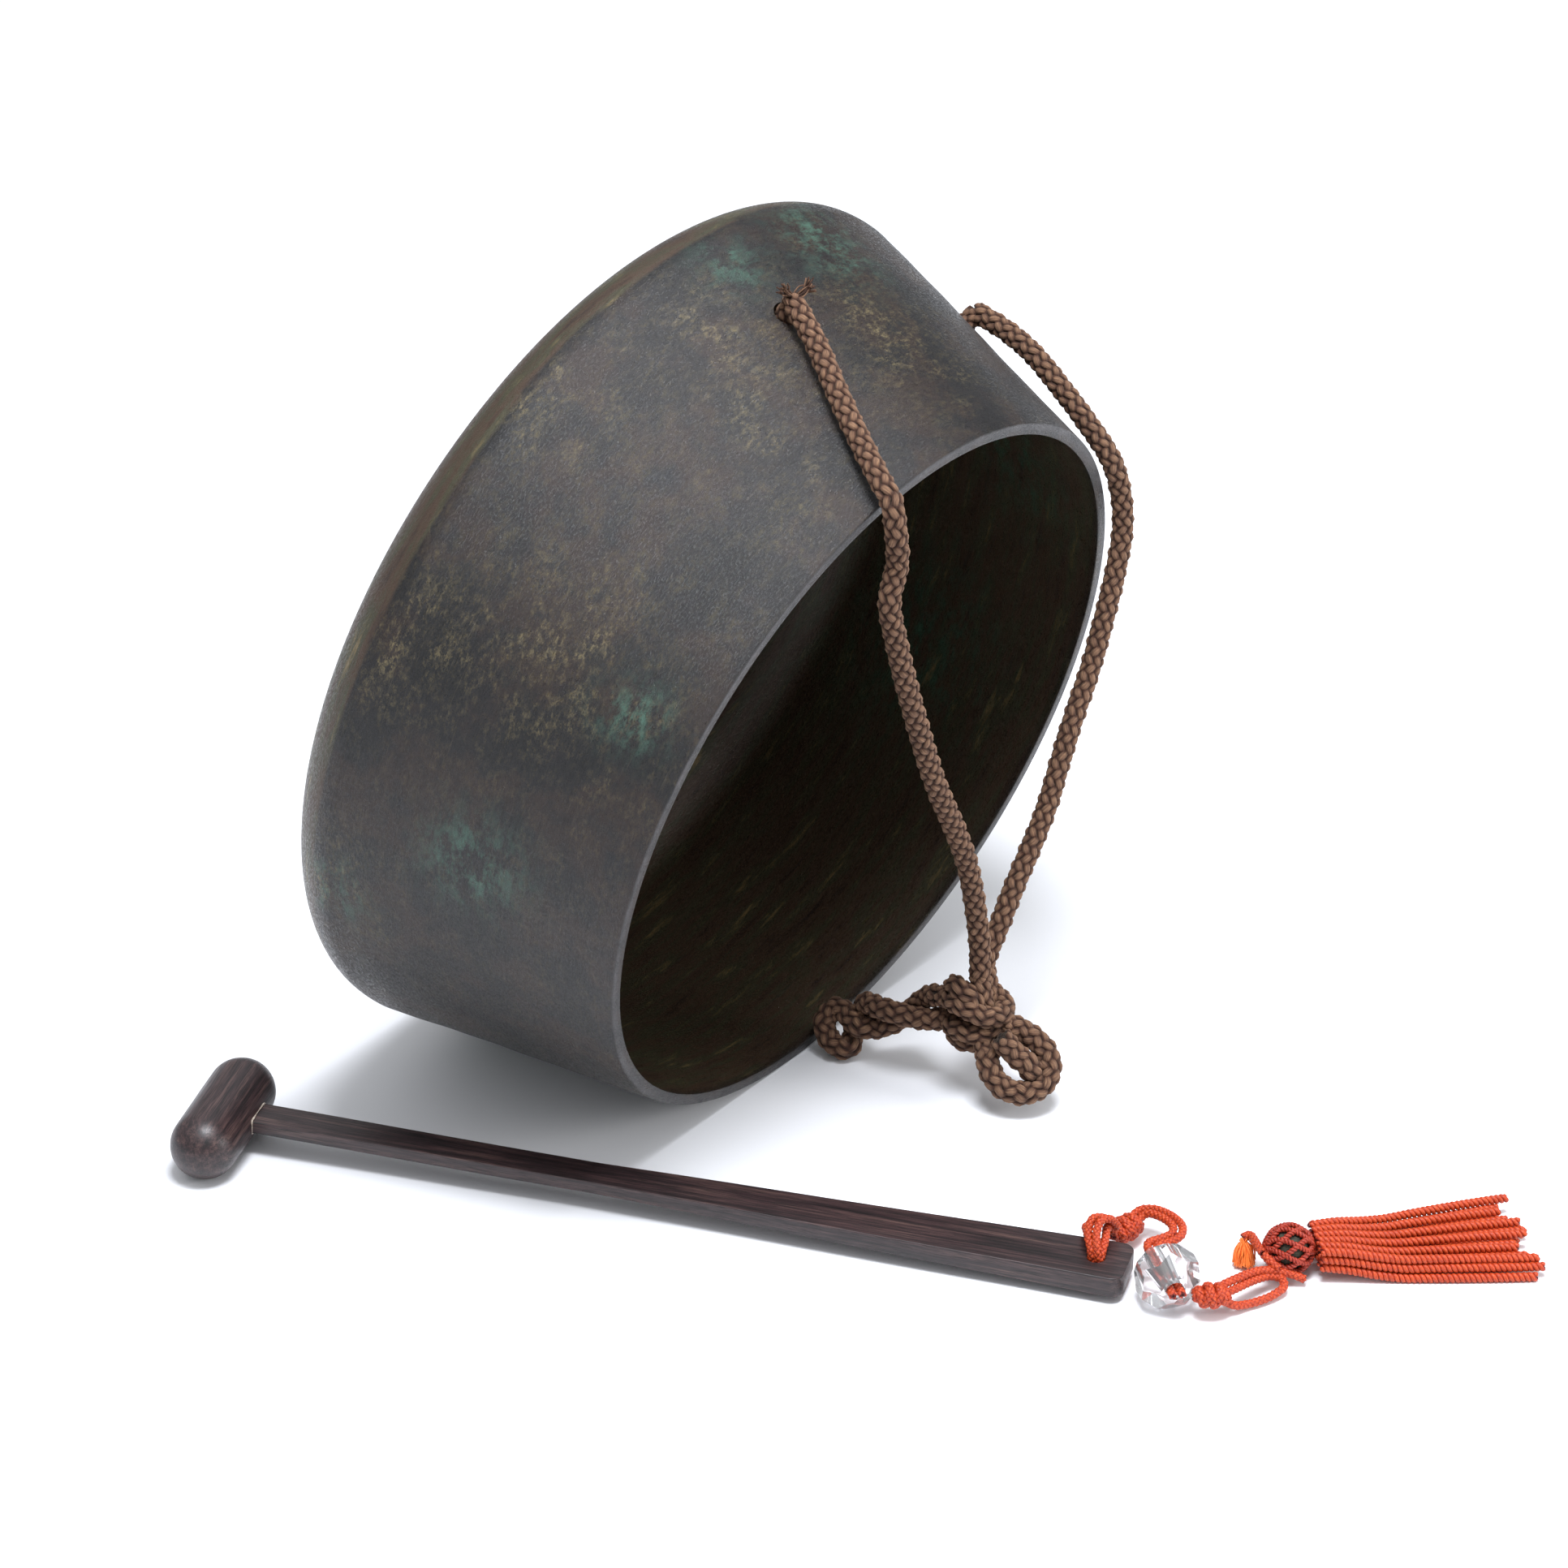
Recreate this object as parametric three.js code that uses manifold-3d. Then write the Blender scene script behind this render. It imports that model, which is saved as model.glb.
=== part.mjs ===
// A shallow bronze temple bell lying on its side, with its hanging cord, and the T-shaped
// hardwood mallet that goes with it, with a wrist cord, a crystal bead and a silk tassel.
// Millimetres, +Z up, everything resting on the plane z = 0. The mouth faces -Y.

import * as THREE from 'three';
import { mergeVertices } from 'three/addons/utils/BufferGeometryUtils.js';
import Module from 'manifold-3d';

const wasm = await Module();
wasm.setup();

// ---------------------------------------------------------------- driving dimensions
// Bell: a truncated cone, narrower at the mouth than at the struck face.
const mouthRadius = 125;
const faceCornerRadius = 154.5; // where the wall's line would meet the struck face
const bellDepth = 117;
const wallThickness = 4;
const faceThickness = 5;
const shoulderRadius = 16.5;
const bellSides = 64;
const shoulderSteps = 6;
const drillReach = 3 * wallThickness; // either side of the wall's outer skin

// Hanging cord and the two holes it goes through.
const ropeDiameter = 7.4;
const ropeSides = 10;
const ropeHoleDiameter = 9.2;
const ropeHoleSides = 20;
const holeSetback = 65; // from the mouth, along the axis
const frontHoleAngle = -1.5; // degrees round from the bell's top
const rearHoleAngle = 50;
const stopperDiameter = 14;
const knotSize = [22, 19, 22.6];

// Mallet: a round-ended head across the end of a flat handle that widens towards its cord hole.
const headDiameter = 22.3;
const headLength = 55;
const headSides = 24;
const headArcSteps = 12; // over both round ends together
const headOffset = 3; // the handle enters the head this far from its middle
const handleReach = 298.5; // from the head's axis to the handle's end
const neckWidth = 11.5;
const endWidth = 21;
const neckThickness = 4.4;
const endThickness = 7;
const taperStart = 125; // from the head's centre
const handleStart = 1.5;
const endCornerRadius = 4.5;
const cordHoleDiameter = 6;
const cordHoleInset = 10.5;
const cordHoleSides = 16;

// Wrist cord, bead and tassel.
const silkDiameter = 2.4;
const silkSides = 8;
const beadDiameter = 19.7;
const beadBoreDiameter = 6.4;
const beadRows = 6;
const beadFacets = 10;
const beadBoreSides = 16;
const wristKnotSize = [12, 9, 9];
const lowerKnotSize = [11.6, 8.4, 8.4];
const tuftSize = [8, 8, 7];
const tasselCoreDiameter = 13;
const tasselNetThickness = 1.3;
const netWindowDiameter = 4;
const netWindowSides = 8;
const tasselCordDiameter = 2.6;
const tasselCordSides = 8;
const tasselLength = 66;
const tasselUneven = 3; // the tips end this far to either side of the length
const tasselSettle = 0.4; // share of the length over which the skirt comes down to the floor
const tasselColumns = 6;
const tasselLayers = 3;
const tasselFan = THREE.MathUtils.degToRad(50); // how far the layers have rolled flat at the tips
const tasselSpread = 1.7; // how much further apart the columns lie when fully rolled

// Clearances.
const gap = 0.3; // between pieces that touch
const jointGap = 0.3; // glue line round the handle in the head

// ---------------------------------------------------------------- materials
const standard = (color, roughness, metalness) =>
  new THREE.MeshStandardMaterial({ color, roughness, metalness });
const bronze = standard(0x3a332b, 0.45, 0.9);
const rope = standard(0x6b4a34, 0.95, 0);
const rosewood = standard(0x3b2722, 0.5, 0);
const silk = standard(0xd8481c, 0.8, 0);
const crystal = standard(0xf2f4f6, 0.05, 0);
const darkCore = standard(0x3c3a30, 0.8, 0);

// ---------------------------------------------------------------- helpers
const tubeStep = 1.5; // a cord's sections are about this many diameters apart
const tubeMostSteps = 80;
const ballSides = 14;
const ballRows = 9;
const object = new THREE.Group();
const vec = (p) => new THREE.Vector3(...p);

function welded(geometry) {
  geometry.deleteAttribute('normal');
  geometry.deleteAttribute('uv');
  const merged = mergeVertices(geometry, 1e-4);
  const corners = merged.index.array;
  const kept = [];
  for (let i = 0; i < corners.length; i += 3) {
    const [a, b, c] = corners.slice(i, i + 3);
    if (a !== b && b !== c && c !== a) kept.push(a, b, c);
  }
  merged.setIndex(facingOut(merged.attributes.position, kept));
  return merged;
}

function facingOut(position, corners) {
  const [a, b, c] = [0, 1, 2].map(() => new THREE.Vector3());
  let volume = 0;
  for (let i = 0; i < corners.length; i += 3) {
    a.fromBufferAttribute(position, corners[i]);
    b.fromBufferAttribute(position, corners[i + 1]);
    c.fromBufferAttribute(position, corners[i + 2]);
    volume += a.dot(b.cross(c));
  }
  if (volume > 0) return corners;
  return corners.map((_, i) => corners[i % 3 === 0 ? i : i % 3 === 1 ? i + 1 : i - 1]);
}

function toManifold(geometry) {
  const clean = welded(geometry);
  return new wasm.Manifold(new wasm.Mesh({
    numProp: 3,
    vertProperties: new Float32Array(clean.attributes.position.array),
    triVerts: new Uint32Array(clean.index.array),
  }));
}

function fromManifold(solid) {
  const mesh = solid.getMesh();
  const geometry = new THREE.BufferGeometry();
  geometry.setAttribute('position', new THREE.BufferAttribute(mesh.vertProperties, 3));
  geometry.setIndex(new THREE.BufferAttribute(mesh.triVerts, 1));
  return geometry;
}

function add(name, geometry, material, parent = object) {
  const mesh = new THREE.Mesh(geometry, material);
  mesh.name = name;
  parent.add(mesh);
  return mesh;
}

function polygon(radius, sides) {
  const corners = [];
  for (let i = 0; i < sides; i += 1) {
    const turn = (2 * Math.PI * i) / sides;
    corners.push(new THREE.Vector2(radius * Math.cos(turn), radius * Math.sin(turn)));
  }
  return new THREE.Shape(corners);
}

function tube(points, diameter, sides) {
  const curve = new THREE.CatmullRomCurve3(points.map(vec), false, 'centripetal');
  const wanted = Math.ceil(curve.getLength() / (tubeStep * diameter));
  const steps = Math.min(tubeMostSteps, Math.max(1, wanted));
  const settings = { steps, extrudePath: curve, bevelEnabled: false };
  return welded(new THREE.ExtrudeGeometry(polygon(diameter / 2, sides), settings));
}

function ellipsoid([sizeX, sizeY, sizeZ]) {
  const ball = new THREE.SphereGeometry(0.5, ballSides, ballRows);
  return welded(ball.scale(sizeX, sizeY, sizeZ));
}

function cylinderAlong(from, to, diameter, sides) {
  const path = new THREE.LineCurve3(from, to);
  const settings = { steps: 1, extrudePath: path, bevelEnabled: false };
  return new THREE.ExtrudeGeometry(polygon(diameter / 2, sides), settings);
}

// ---------------------------------------------------------------- bell
// The lathe's flat facets lie half a step off the bell's lowest line, so the bell rests on one.
const facetShare = Math.cos(Math.PI / bellSides);
const coneAngle = Math.atan((faceCornerRadius - mouthRadius) / bellDepth);
const restAngle = Math.atan(((faceCornerRadius - mouthRadius) * facetShare) / bellDepth);
const bell = new THREE.Group();
bell.rotation.x = restAngle;
bell.position.y = -mouthRadius * facetShare * Math.sin(restAngle);
bell.position.z = mouthRadius * facetShare * Math.cos(restAngle);
object.add(bell);

// A round between the sloping wall and the face, from the wall's tangent point to the face's.
function shoulder(cornerR, cornerY, radius) {
  const reach = radius / Math.tan((Math.PI / 2 - coneAngle) / 2);
  const points = [];
  for (let i = 0; i <= shoulderSteps; i += 1) {
    const turn = -coneAngle + ((Math.PI / 2 + coneAngle) * i) / shoulderSteps;
    const r = cornerR - reach + radius * Math.cos(turn);
    points.push(new THREE.Vector2(r, cornerY - radius + radius * Math.sin(turn)));
  }
  return points;
}

const innerMouthRadius = mouthRadius - wallThickness / Math.cos(coneAngle);
const innerDepth = bellDepth - faceThickness;
const innerCorner = innerMouthRadius + innerDepth * Math.tan(coneAngle);
const innerShoulderRadius = Math.max(1, shoulderRadius - wallThickness);

const bellProfile = [
  new THREE.Vector2(0, bellDepth),
  ...shoulder(faceCornerRadius, bellDepth, shoulderRadius).reverse(),
  new THREE.Vector2(mouthRadius, 0),
  new THREE.Vector2(innerMouthRadius, 0),
  ...shoulder(innerCorner, innerDepth, innerShoulderRadius),
  new THREE.Vector2(0, innerDepth),
];

// Place on the outer wall and its outward direction, in the bell's own frame (Y along its axis).
function wallSpot(angleDegrees) {
  const turn = THREE.MathUtils.degToRad(angleDegrees);
  const radius = mouthRadius + holeSetback * Math.tan(coneAngle);
  const spot = new THREE.Vector3(radius * Math.sin(turn), holeSetback, radius * Math.cos(turn));
  const out = new THREE.Vector3(Math.sin(turn), -Math.tan(coneAngle), Math.cos(turn)).normalize();
  return { spot, out };
}

const along = ({ spot, out }, height) => spot.clone().addScaledVector(out, height);
const holes = { front: wallSpot(frontHoleAngle), rear: wallSpot(rearHoleAngle) };

let shell = toManifold(new THREE.LatheGeometry(bellProfile, bellSides, Math.PI / bellSides));
for (const hole of Object.values(holes)) {
  const from = along(hole, -drillReach);
  const drill = cylinderAlong(from, along(hole, drillReach), ropeHoleDiameter, ropeHoleSides);
  shell = shell.subtract(toManifold(drill));
}
add('bell_shell', fromManifold(shell), bronze, bell);

// ---------------------------------------------------------------- hanging cord
// In each hole a short length of cord ends in a stopper knot inside the bell.
for (const [side, hole] of Object.entries(holes)) {
  const inner = along(hole, -wallThickness);
  const length = cylinderAlong(inner, along(hole, gap / 2), ropeDiameter, ropeSides);
  add(`cord_in_hole_${side}`, welded(length), rope, bell);
  const stopper = ellipsoid([stopperDiameter, stopperDiameter, stopperDiameter]);
  const mesh = add(`cord_stopper_${side}`, stopper, rope, bell);
  mesh.position.copy(along(hole, -wallThickness - gap - stopperDiameter / 2));
}

const frontStrandRoute = [
  [-4.0, -4.0, 278.6], [-10.3, -17.3, 271.0], [-19.6, -33.0, 261.4], [-27.9, -48.5, 251.6],
  [-33.0, -58.2, 246.2], [-35.0, -64.2, 241.2], [-35.2, -66.2, 232.0], [-32.8, -65.2, 219.0],
  [-34.6, -63.8, 207.0], [-30.0, -63.3, 190.0], [-22.3, -62.6, 169.0], [-14.5, -61.8, 150.0],
  [-4.1, -60.8, 127.0], [8.2, -59.7, 105.0], [16.7, -58.9, 87.0], [22.6, -58.2, 67.4],
  [25.4, -58.0, 52.0], [25.8, -58.0, 41.0],
];
const rearStrandRoute = [
  [111.9, 8.6, 228.4], [110.6, -4.0, 226.0], [108.2, -17.0, 221.9], [107.4, -29.3, 213.0],
  [108.0, -39.0, 203.5], [111.4, -46.2, 191.3], [114.8, -48.2, 178.0], [114.8, -49.2, 165.0],
  [110.0, -49.8, 150.5], [102.6, -50.6, 136.2], [95.0, -51.4, 123.4], [83.8, -52.6, 109.5],
  [75.7, -53.4, 97.3], [67.6, -54.2, 84.8], [57.5, -54.8, 73.4], [48.0, -55.0, 62.8],
  [41.0, -55.0, 53.4], [35.8, -54.8, 46.6], [33.2, -54.4, 41.2],
];
const loopRoute = [
  [27.5, -67.8, 26.2], [30.2, -73.0, 23.8], [31.4, -79.0, 20.2], [30.0, -83.4, 15.6],
  [25.2, -84.6, 11.0], [19.2, -81.0, 8.8], [15.6, -74.6, 10.6], [16.2, -69.0, 15.4],
  [18.6, -66.4, 19.6],
];
const innerLoopRoute = [
  [19.8, -71.0, 25.8], [21.0, -74.0, 22.0], [22.2, -77.0, 19.0], [23.2, -79.2, 17.4],
];
const knotCentre = [25, -58, 29];

add('cord_strand_front', tube(frontStrandRoute, ropeDiameter, ropeSides), rope);
add('cord_strand_rear', tube(rearStrandRoute, ropeDiameter, ropeSides), rope);
add('cord_knot', ellipsoid(knotSize), rope).position.set(...knotCentre);
add('cord_loop_outer', tube(loopRoute, ropeDiameter, ropeSides), rope);
add('cord_loop_inner', tube(innerLoopRoute, ropeDiameter, ropeSides), rope);

// The doubled tail: two strands twisted round each other, joined by a bight that rests on the floor.
const tailAxis = [
  [22.4, -45.8, 27.0], [21.8, -37.6, 23.8], [19.4, -30.0, 20.6], [18.0, -23.4, 17.2], [17.4, -17.4, 15.6],
];
const tailBight = [
  [17.8, -13.3, 7.4], [12.2, -14.8, 4.3], [10.6, -9.9, 5.4], [12.8, -4.6, 10.0], [17.6, -6.2, 14.2],
];
const tailTurns = 0.6;
const tailStations = 6;
const strandOffset = ropeDiameter / 2 + gap;

function tailRoute() {
  const axis = new THREE.CatmullRomCurve3(tailAxis.map(vec), false, 'centripetal');
  const across = new THREE.Vector3(1, 0, 0);
  const strand = (side) => {
    const points = [];
    for (let i = 0; i <= tailStations; i += 1) {
      const share = i / tailStations;
      const upright = axis.getTangentAt(share).cross(across).normalize();
      const turn = side * (Math.PI / 2) + 2 * Math.PI * tailTurns * share;
      const point = axis.getPointAt(share).addScaledVector(across, strandOffset * Math.cos(turn));
      points.push(point.addScaledVector(upright, strandOffset * Math.sin(turn)).toArray());
    }
    return points;
  };
  return [...strand(1), ...tailBight, ...strand(-1).reverse()];
}
add('cord_tail', tube(tailRoute(), ropeDiameter, ropeSides), rope);

// ---------------------------------------------------------------- mallet
// Own frame: X from the head's centre towards the handle's end, Y along the head.
const cordUnderEnd = silkDiameter + gap; // the wrist cord passes under the handle and lifts it
const handleDrop = headDiameter / 2 - cordUnderEnd;
const halfEnd = endThickness / 2;
const cornerReach = Math.hypot(handleReach, halfEnd);
const tilt = Math.asin(handleDrop / cornerReach) - Math.atan(halfEnd / handleReach);
const malletTurn = THREE.MathUtils.degToRad(-69.1);
const mallet = new THREE.Group();
mallet.position.set(-148.5, 115.5, headDiameter / 2);
mallet.rotation.set(0, tilt, malletTurn, 'ZYX');
object.add(mallet);

function handlePlan(spread) {
  const shape = new THREE.Shape();
  const half = neckWidth / 2 + spread;
  const end = endWidth / 2 + spread;
  shape.moveTo(handleStart, -half);
  shape.lineTo(taperStart, -half);
  shape.lineTo(handleReach - endCornerRadius, -end);
  shape.quadraticCurveTo(handleReach, -end, handleReach, -end + endCornerRadius);
  shape.lineTo(handleReach, end - endCornerRadius);
  shape.quadraticCurveTo(handleReach, end, handleReach - endCornerRadius, end);
  shape.lineTo(taperStart, half);
  shape.lineTo(handleStart, half);
  const settings = { depth: 2 * endThickness, bevelEnabled: false, curveSegments: 5 };
  return new THREE.ExtrudeGeometry(shape, settings).translate(0, 0, -endThickness);
}

const sideOverrun = 1; // the side view is cut past the end, so that the plan alone shapes it

function handleSide(spread) {
  const neck = neckThickness / 2 + spread;
  const end = endThickness / 2 + spread;
  const shape = new THREE.Shape();
  shape.moveTo(0, -neck);
  shape.lineTo(taperStart, -neck);
  shape.lineTo(handleReach + sideOverrun, -end);
  shape.lineTo(handleReach + sideOverrun, end);
  shape.lineTo(taperStart, neck);
  shape.lineTo(0, neck);
  const settings = { depth: 2 * endWidth, bevelEnabled: false };
  return new THREE.ExtrudeGeometry(shape, settings).translate(0, 0, -endWidth).rotateX(Math.PI / 2);
}

function handleBlank(spread) {
  return toManifold(handlePlan(spread)).intersect(toManifold(handleSide(spread)));
}

const headStraight = headLength - headDiameter;
const headProfile = [];
for (let i = 0; i <= headArcSteps; i += 1) {
  const turn = -Math.PI / 2 + (Math.PI * i) / headArcSteps;
  const end = turn < 0 ? -headStraight / 2 : headStraight / 2;
  const r = i % headArcSteps === 0 ? 0 : (headDiameter / 2) * Math.cos(turn);
  const y = end + (headDiameter / 2) * Math.sin(turn);
  if (i === headArcSteps / 2) headProfile.push(new THREE.Vector2(headDiameter / 2, -headStraight / 2));
  headProfile.push(new THREE.Vector2(r, y));
}
const headTurned = new THREE.LatheGeometry(headProfile, headSides, Math.PI / headSides);
const headBlank = toManifold(headTurned.translate(0, -headOffset, 0));
const mortise = handleBlank(jointGap).translate([-jointGap, 0, 0]);
add('mallet_head', fromManifold(headBlank.subtract(mortise)), rosewood, mallet);

const holeX = handleReach - cordHoleInset;
const cordHole = cylinderAlong(
  new THREE.Vector3(holeX, 0, -endThickness),
  new THREE.Vector3(holeX, 0, endThickness),
  cordHoleDiameter,
  cordHoleSides,
);
add('mallet_handle', fromManifold(handleBlank(0).subtract(toManifold(cordHole))), rosewood, mallet);

// ---------------------------------------------------------------- wrist cord
// Two turns of doubled cord come up through the hole, go over the handle's far edge and meet
// in a knot beside it. Hitch points are in the mallet's frame.
const top = endThickness / 2;
const side = silkDiameter / 2 + gap;
const hitchLeft = [
  [holeX - side, 0, -top + 0.5], [holeX - side, 0, top], [holeX - 2.2, 1.6, top + 2.1],
  [holeX - 4.2, 6, top + 3.2], [holeX - 6, 11, top + 3], [holeX - 6.2, 13.6, top - 0.4],
  [holeX - 3.6, 14.6, top - 4.2], [holeX - 0.6, 16.4, top - 5.4],
];
const hitchRight = [
  [holeX + side, 0, -top + 0.5], [holeX + side, 0, top], [holeX + 1.6, 1.6, top + 2.1],
  [holeX + 1.4, 6, top + 3.4], [holeX + 0.6, 11, top + 3.8], [holeX + 0.8, 14.2, top + 2.2],
  [holeX + 2.2, 15.8, top - 0.6],
];
const under = -top - side;
const hitchUnder = [
  [holeX + 0.4, 0, under + 0.1], [holeX + 0.8, 6, under], [holeX + 2, 12.5, under],
];
add('wrist_hitch_left', tube(hitchLeft, silkDiameter, silkSides), silk, mallet);
add('wrist_hitch_right', tube(hitchRight, silkDiameter, silkSides), silk, mallet);
add('wrist_hitch_under', tube(hitchUnder, silkDiameter, silkSides), silk, mallet);

const wristKnot = add('wrist_knot', ellipsoid(wristKnotSize), silk);
wristKnot.position.set(-22.4, -149.0, 6.2);
wristKnot.rotation.z = THREE.MathUtils.degToRad(-12);

// The doubled cord runs from the knot, in an arc, through the bead.
const beadCentre = vec([-41.1, -176.9, beadDiameter / 2]);
const boreDirection = vec([-0.62, -0.785, 0]).normalize();
const boreSpot = (distance) => beadCentre.clone().addScaledVector(boreDirection, distance).toArray();
const wristRoute = [
  [-14.4, -149.8, 8.2], [-13.4, -152.6, 9.2], [-13.6, -156.4, 9.8], [-14.6, -160.6, 10.1],
  [-16.8, -164.6, 10.2], [-20.8, -166.8, 10.2], [-25.2, -165.8, 10.1], [-29.4, -163.8, 9.95],
  boreSpot(-beadDiameter * 0.6), boreSpot(0), boreSpot(beadDiameter / 2 + 0.8),
];

// The same route moved sideways, level with the floor.
function beside(route, offset) {
  return route.map((point, i) => {
    const before = vec(route[Math.max(0, i - 1)]);
    const after = vec(route[Math.min(route.length - 1, i + 1)]);
    const heading = after.sub(before).setZ(0).normalize();
    return [point[0] - heading.y * offset, point[1] + heading.x * offset, point[2]];
  });
}
add('wrist_cord_left', tube(beside(wristRoute, side), silkDiameter, silkSides), silk);
add('wrist_cord_right', tube(beside(wristRoute, -side), silkDiameter, silkSides), silk);

const lowerKnot = add('lower_knot', ellipsoid(lowerKnotSize), silk);
lowerKnot.position.set(-39.0, -192.0, 7.8);
lowerKnot.rotation.z = THREE.MathUtils.degToRad(-48);

const lowerLoopRoute = [
  [-32.4, -195.0, 7.2], [-26.6, -195.9, 6.6], [-20.2, -197.1, 5.8], [-15.6, -198.6, 4.9],
  [-13.6, -201.4, 3.9], [-15.6, -203.6, 3.0], [-20.2, -203.0, 2.3], [-25.7, -200.9, 2.0],
  [-29.8, -198.8, 2.2], [-33.4, -197.4, 3.2],
];
add('lower_loop', tube(lowerLoopRoute, silkDiameter, silkSides), silk);

// The tassel's own neck cord goes round the loop, and its cut end stands up in a soft tuft.
const neckRoute = [[-13.6, -200.0, 7.3], [-14.1, -197.4, 8.9], [-13.4, -194.6, 9.9]];
add('tassel_neck', tube(neckRoute, silkDiameter, silkSides), silk);
const cutEndRoute = [
  [-12.9, -193.6, 10.0], [-10.6, -190.6, 10.0], [-8.0, -187.2, 10.0], [-6.6, -184.8, 9.8],
  [-8.4, -183.6, 9.4],
];
add('cut_end', tube(cutEndRoute, silkDiameter, silkSides), silk);
add('cut_end_tuft', ellipsoid(tuftSize), silk).position.set(-9.8, -185.2, 4.2);

// ---------------------------------------------------------------- crystal bead
// Rings of flat facets between two flat ends, bored through for the doubled cord.
const bead = new THREE.Group();
bead.position.copy(beadCentre);
bead.quaternion.setFromUnitVectors(new THREE.Vector3(0, 1, 0), boreDirection);
object.add(bead);
const beadProfile = [];
const beadEnd = THREE.MathUtils.degToRad(66);
for (let i = 0; i < beadRows; i += 1) {
  const turn = -beadEnd + (2 * beadEnd * i) / (beadRows - 1);
  const r = (beadDiameter / 2) * Math.cos(turn);
  beadProfile.push(new THREE.Vector2(r, (beadDiameter / 2) * Math.sin(turn)));
}
const beadFlat = beadProfile[beadRows - 1].y;
beadProfile.unshift(new THREE.Vector2(0, -beadFlat));
beadProfile.push(new THREE.Vector2(0, beadFlat));
const beadBlank = toManifold(new THREE.LatheGeometry(beadProfile, beadFacets));
const beadBore = cylinderAlong(
  new THREE.Vector3(0, -beadDiameter, 0),
  new THREE.Vector3(0, beadDiameter, 0),
  beadBoreDiameter,
  beadBoreSides,
);
add('crystal_bead', fromManifold(beadBlank.subtract(toManifold(beadBore))), crystal, bead);

// ---------------------------------------------------------------- tassel
// Own frame: X from the head's centre along the skirt, Y across it, Z up.
const netDiameter = tasselCoreDiameter + 2 * (gap + tasselNetThickness);
const tassel = new THREE.Group();
tassel.position.set(-4.0, -197.7, netDiameter / 2 + 0.2);
tassel.rotation.z = THREE.MathUtils.degToRad(-42.4);
object.add(tassel);

const coreSize = [tasselCoreDiameter, tasselCoreDiameter, tasselCoreDiameter];
add('tassel_core', ellipsoid(coreSize), darkCore, tassel);

// The netted knot round the core: a thin ball with windows between its cords.
const netBall = (diameter) => toManifold(new THREE.SphereGeometry(diameter / 2, 16, 10));
let net = netBall(netDiameter).subtract(netBall(tasselCoreDiameter + 3 * gap));
const windowRoot = tasselCoreDiameter * 0.3; // inside the net's hollow
const windowRings = [{ lean: 35, count: 4 }, { lean: 80, count: 6 }];
for (const { lean, count } of windowRings) {
  for (let i = 0; i < count; i += 1) {
    const turn = (2 * Math.PI * (i + lean / 100)) / count;
    const polar = THREE.MathUtils.degToRad(lean);
    const outward = new THREE.Vector3(
      -Math.cos(polar),
      Math.sin(polar) * Math.cos(turn),
      Math.sin(polar) * Math.sin(turn),
    );
    const tip = outward.clone().multiplyScalar(netDiameter);
    const root = outward.clone().multiplyScalar(windowRoot);
    const punch = cylinderAlong(root, tip, netWindowDiameter, netWindowSides);
    net = net.subtract(toManifold(punch));
  }
}
add('tassel_net', fromManifold(net), silk, tassel);

// The skirt's cords start stacked in columns and roll down flat towards their tips.
const pitch = tasselCordDiameter + 0.35;
const skirtStart = netDiameter / 2 + 0.6;
const skirtStations = 8;
const restHeight = tasselCordDiameter / 2 + 0.25 - tassel.position.z;
const startHeight = -((tasselLayers - 1) / 2) * pitch;

function skirtRoute(column, layer) {
  const points = [];
  const length = tasselLength + tasselUneven * Math.sin(2.1 * column + 1.3 * layer);
  for (let i = 0; i <= skirtStations; i += 1) {
    const share = i / skirtStations;
    const roll = tasselFan * share;
    const settle = Math.min(1, share / tasselSettle);
    const base = THREE.MathUtils.lerp(startHeight, restHeight, settle * settle * (3 - 2 * settle));
    const columnPitch = pitch * (1 + tasselSpread * Math.sin(roll));
    const middle = ((tasselColumns - 1) / 2) * columnPitch + pitch * Math.sin(roll);
    const y = column * columnPitch + layer * pitch * Math.sin(roll) - middle;
    points.push([skirtStart + length * share, y, base + layer * pitch * Math.cos(roll)]);
  }
  return points;
}

let number = 1;
for (let column = 0; column < tasselColumns; column += 1) {
  for (let layer = 0; layer < tasselLayers; layer += 1) {
    const cord = tube(skirtRoute(column, layer), tasselCordDiameter, tasselCordSides);
    add(`tassel_cord_${String(number).padStart(2, '0')}`, cord, silk, tassel);
    number += 1;
  }
}

// The origin is on the floor, at the middle of the box round the bell and its mallet.
object.updateMatrixWorld(true);
const footprint = new THREE.Box3();
for (const name of ['bell_shell', 'mallet_head', 'mallet_handle']) {
  footprint.expandByObject(object.getObjectByName(name), true);
}
const middle = footprint.getCenter(new THREE.Vector3());
object.position.set(-middle.x, -middle.y, 0);

export default object;
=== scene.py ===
"""A shallow bronze temple bell lying on its side with its hanging cord, and the T-shaped
rosewood mallet that goes with it, with its silk wrist cord, crystal bead and tassel.
Metres, +Z up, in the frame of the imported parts. Drawing sizes below are in millimetres."""

import math
from functools import partial

import bmesh
import bpy
import numpy as np
from mathutils import Matrix, Vector


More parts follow.
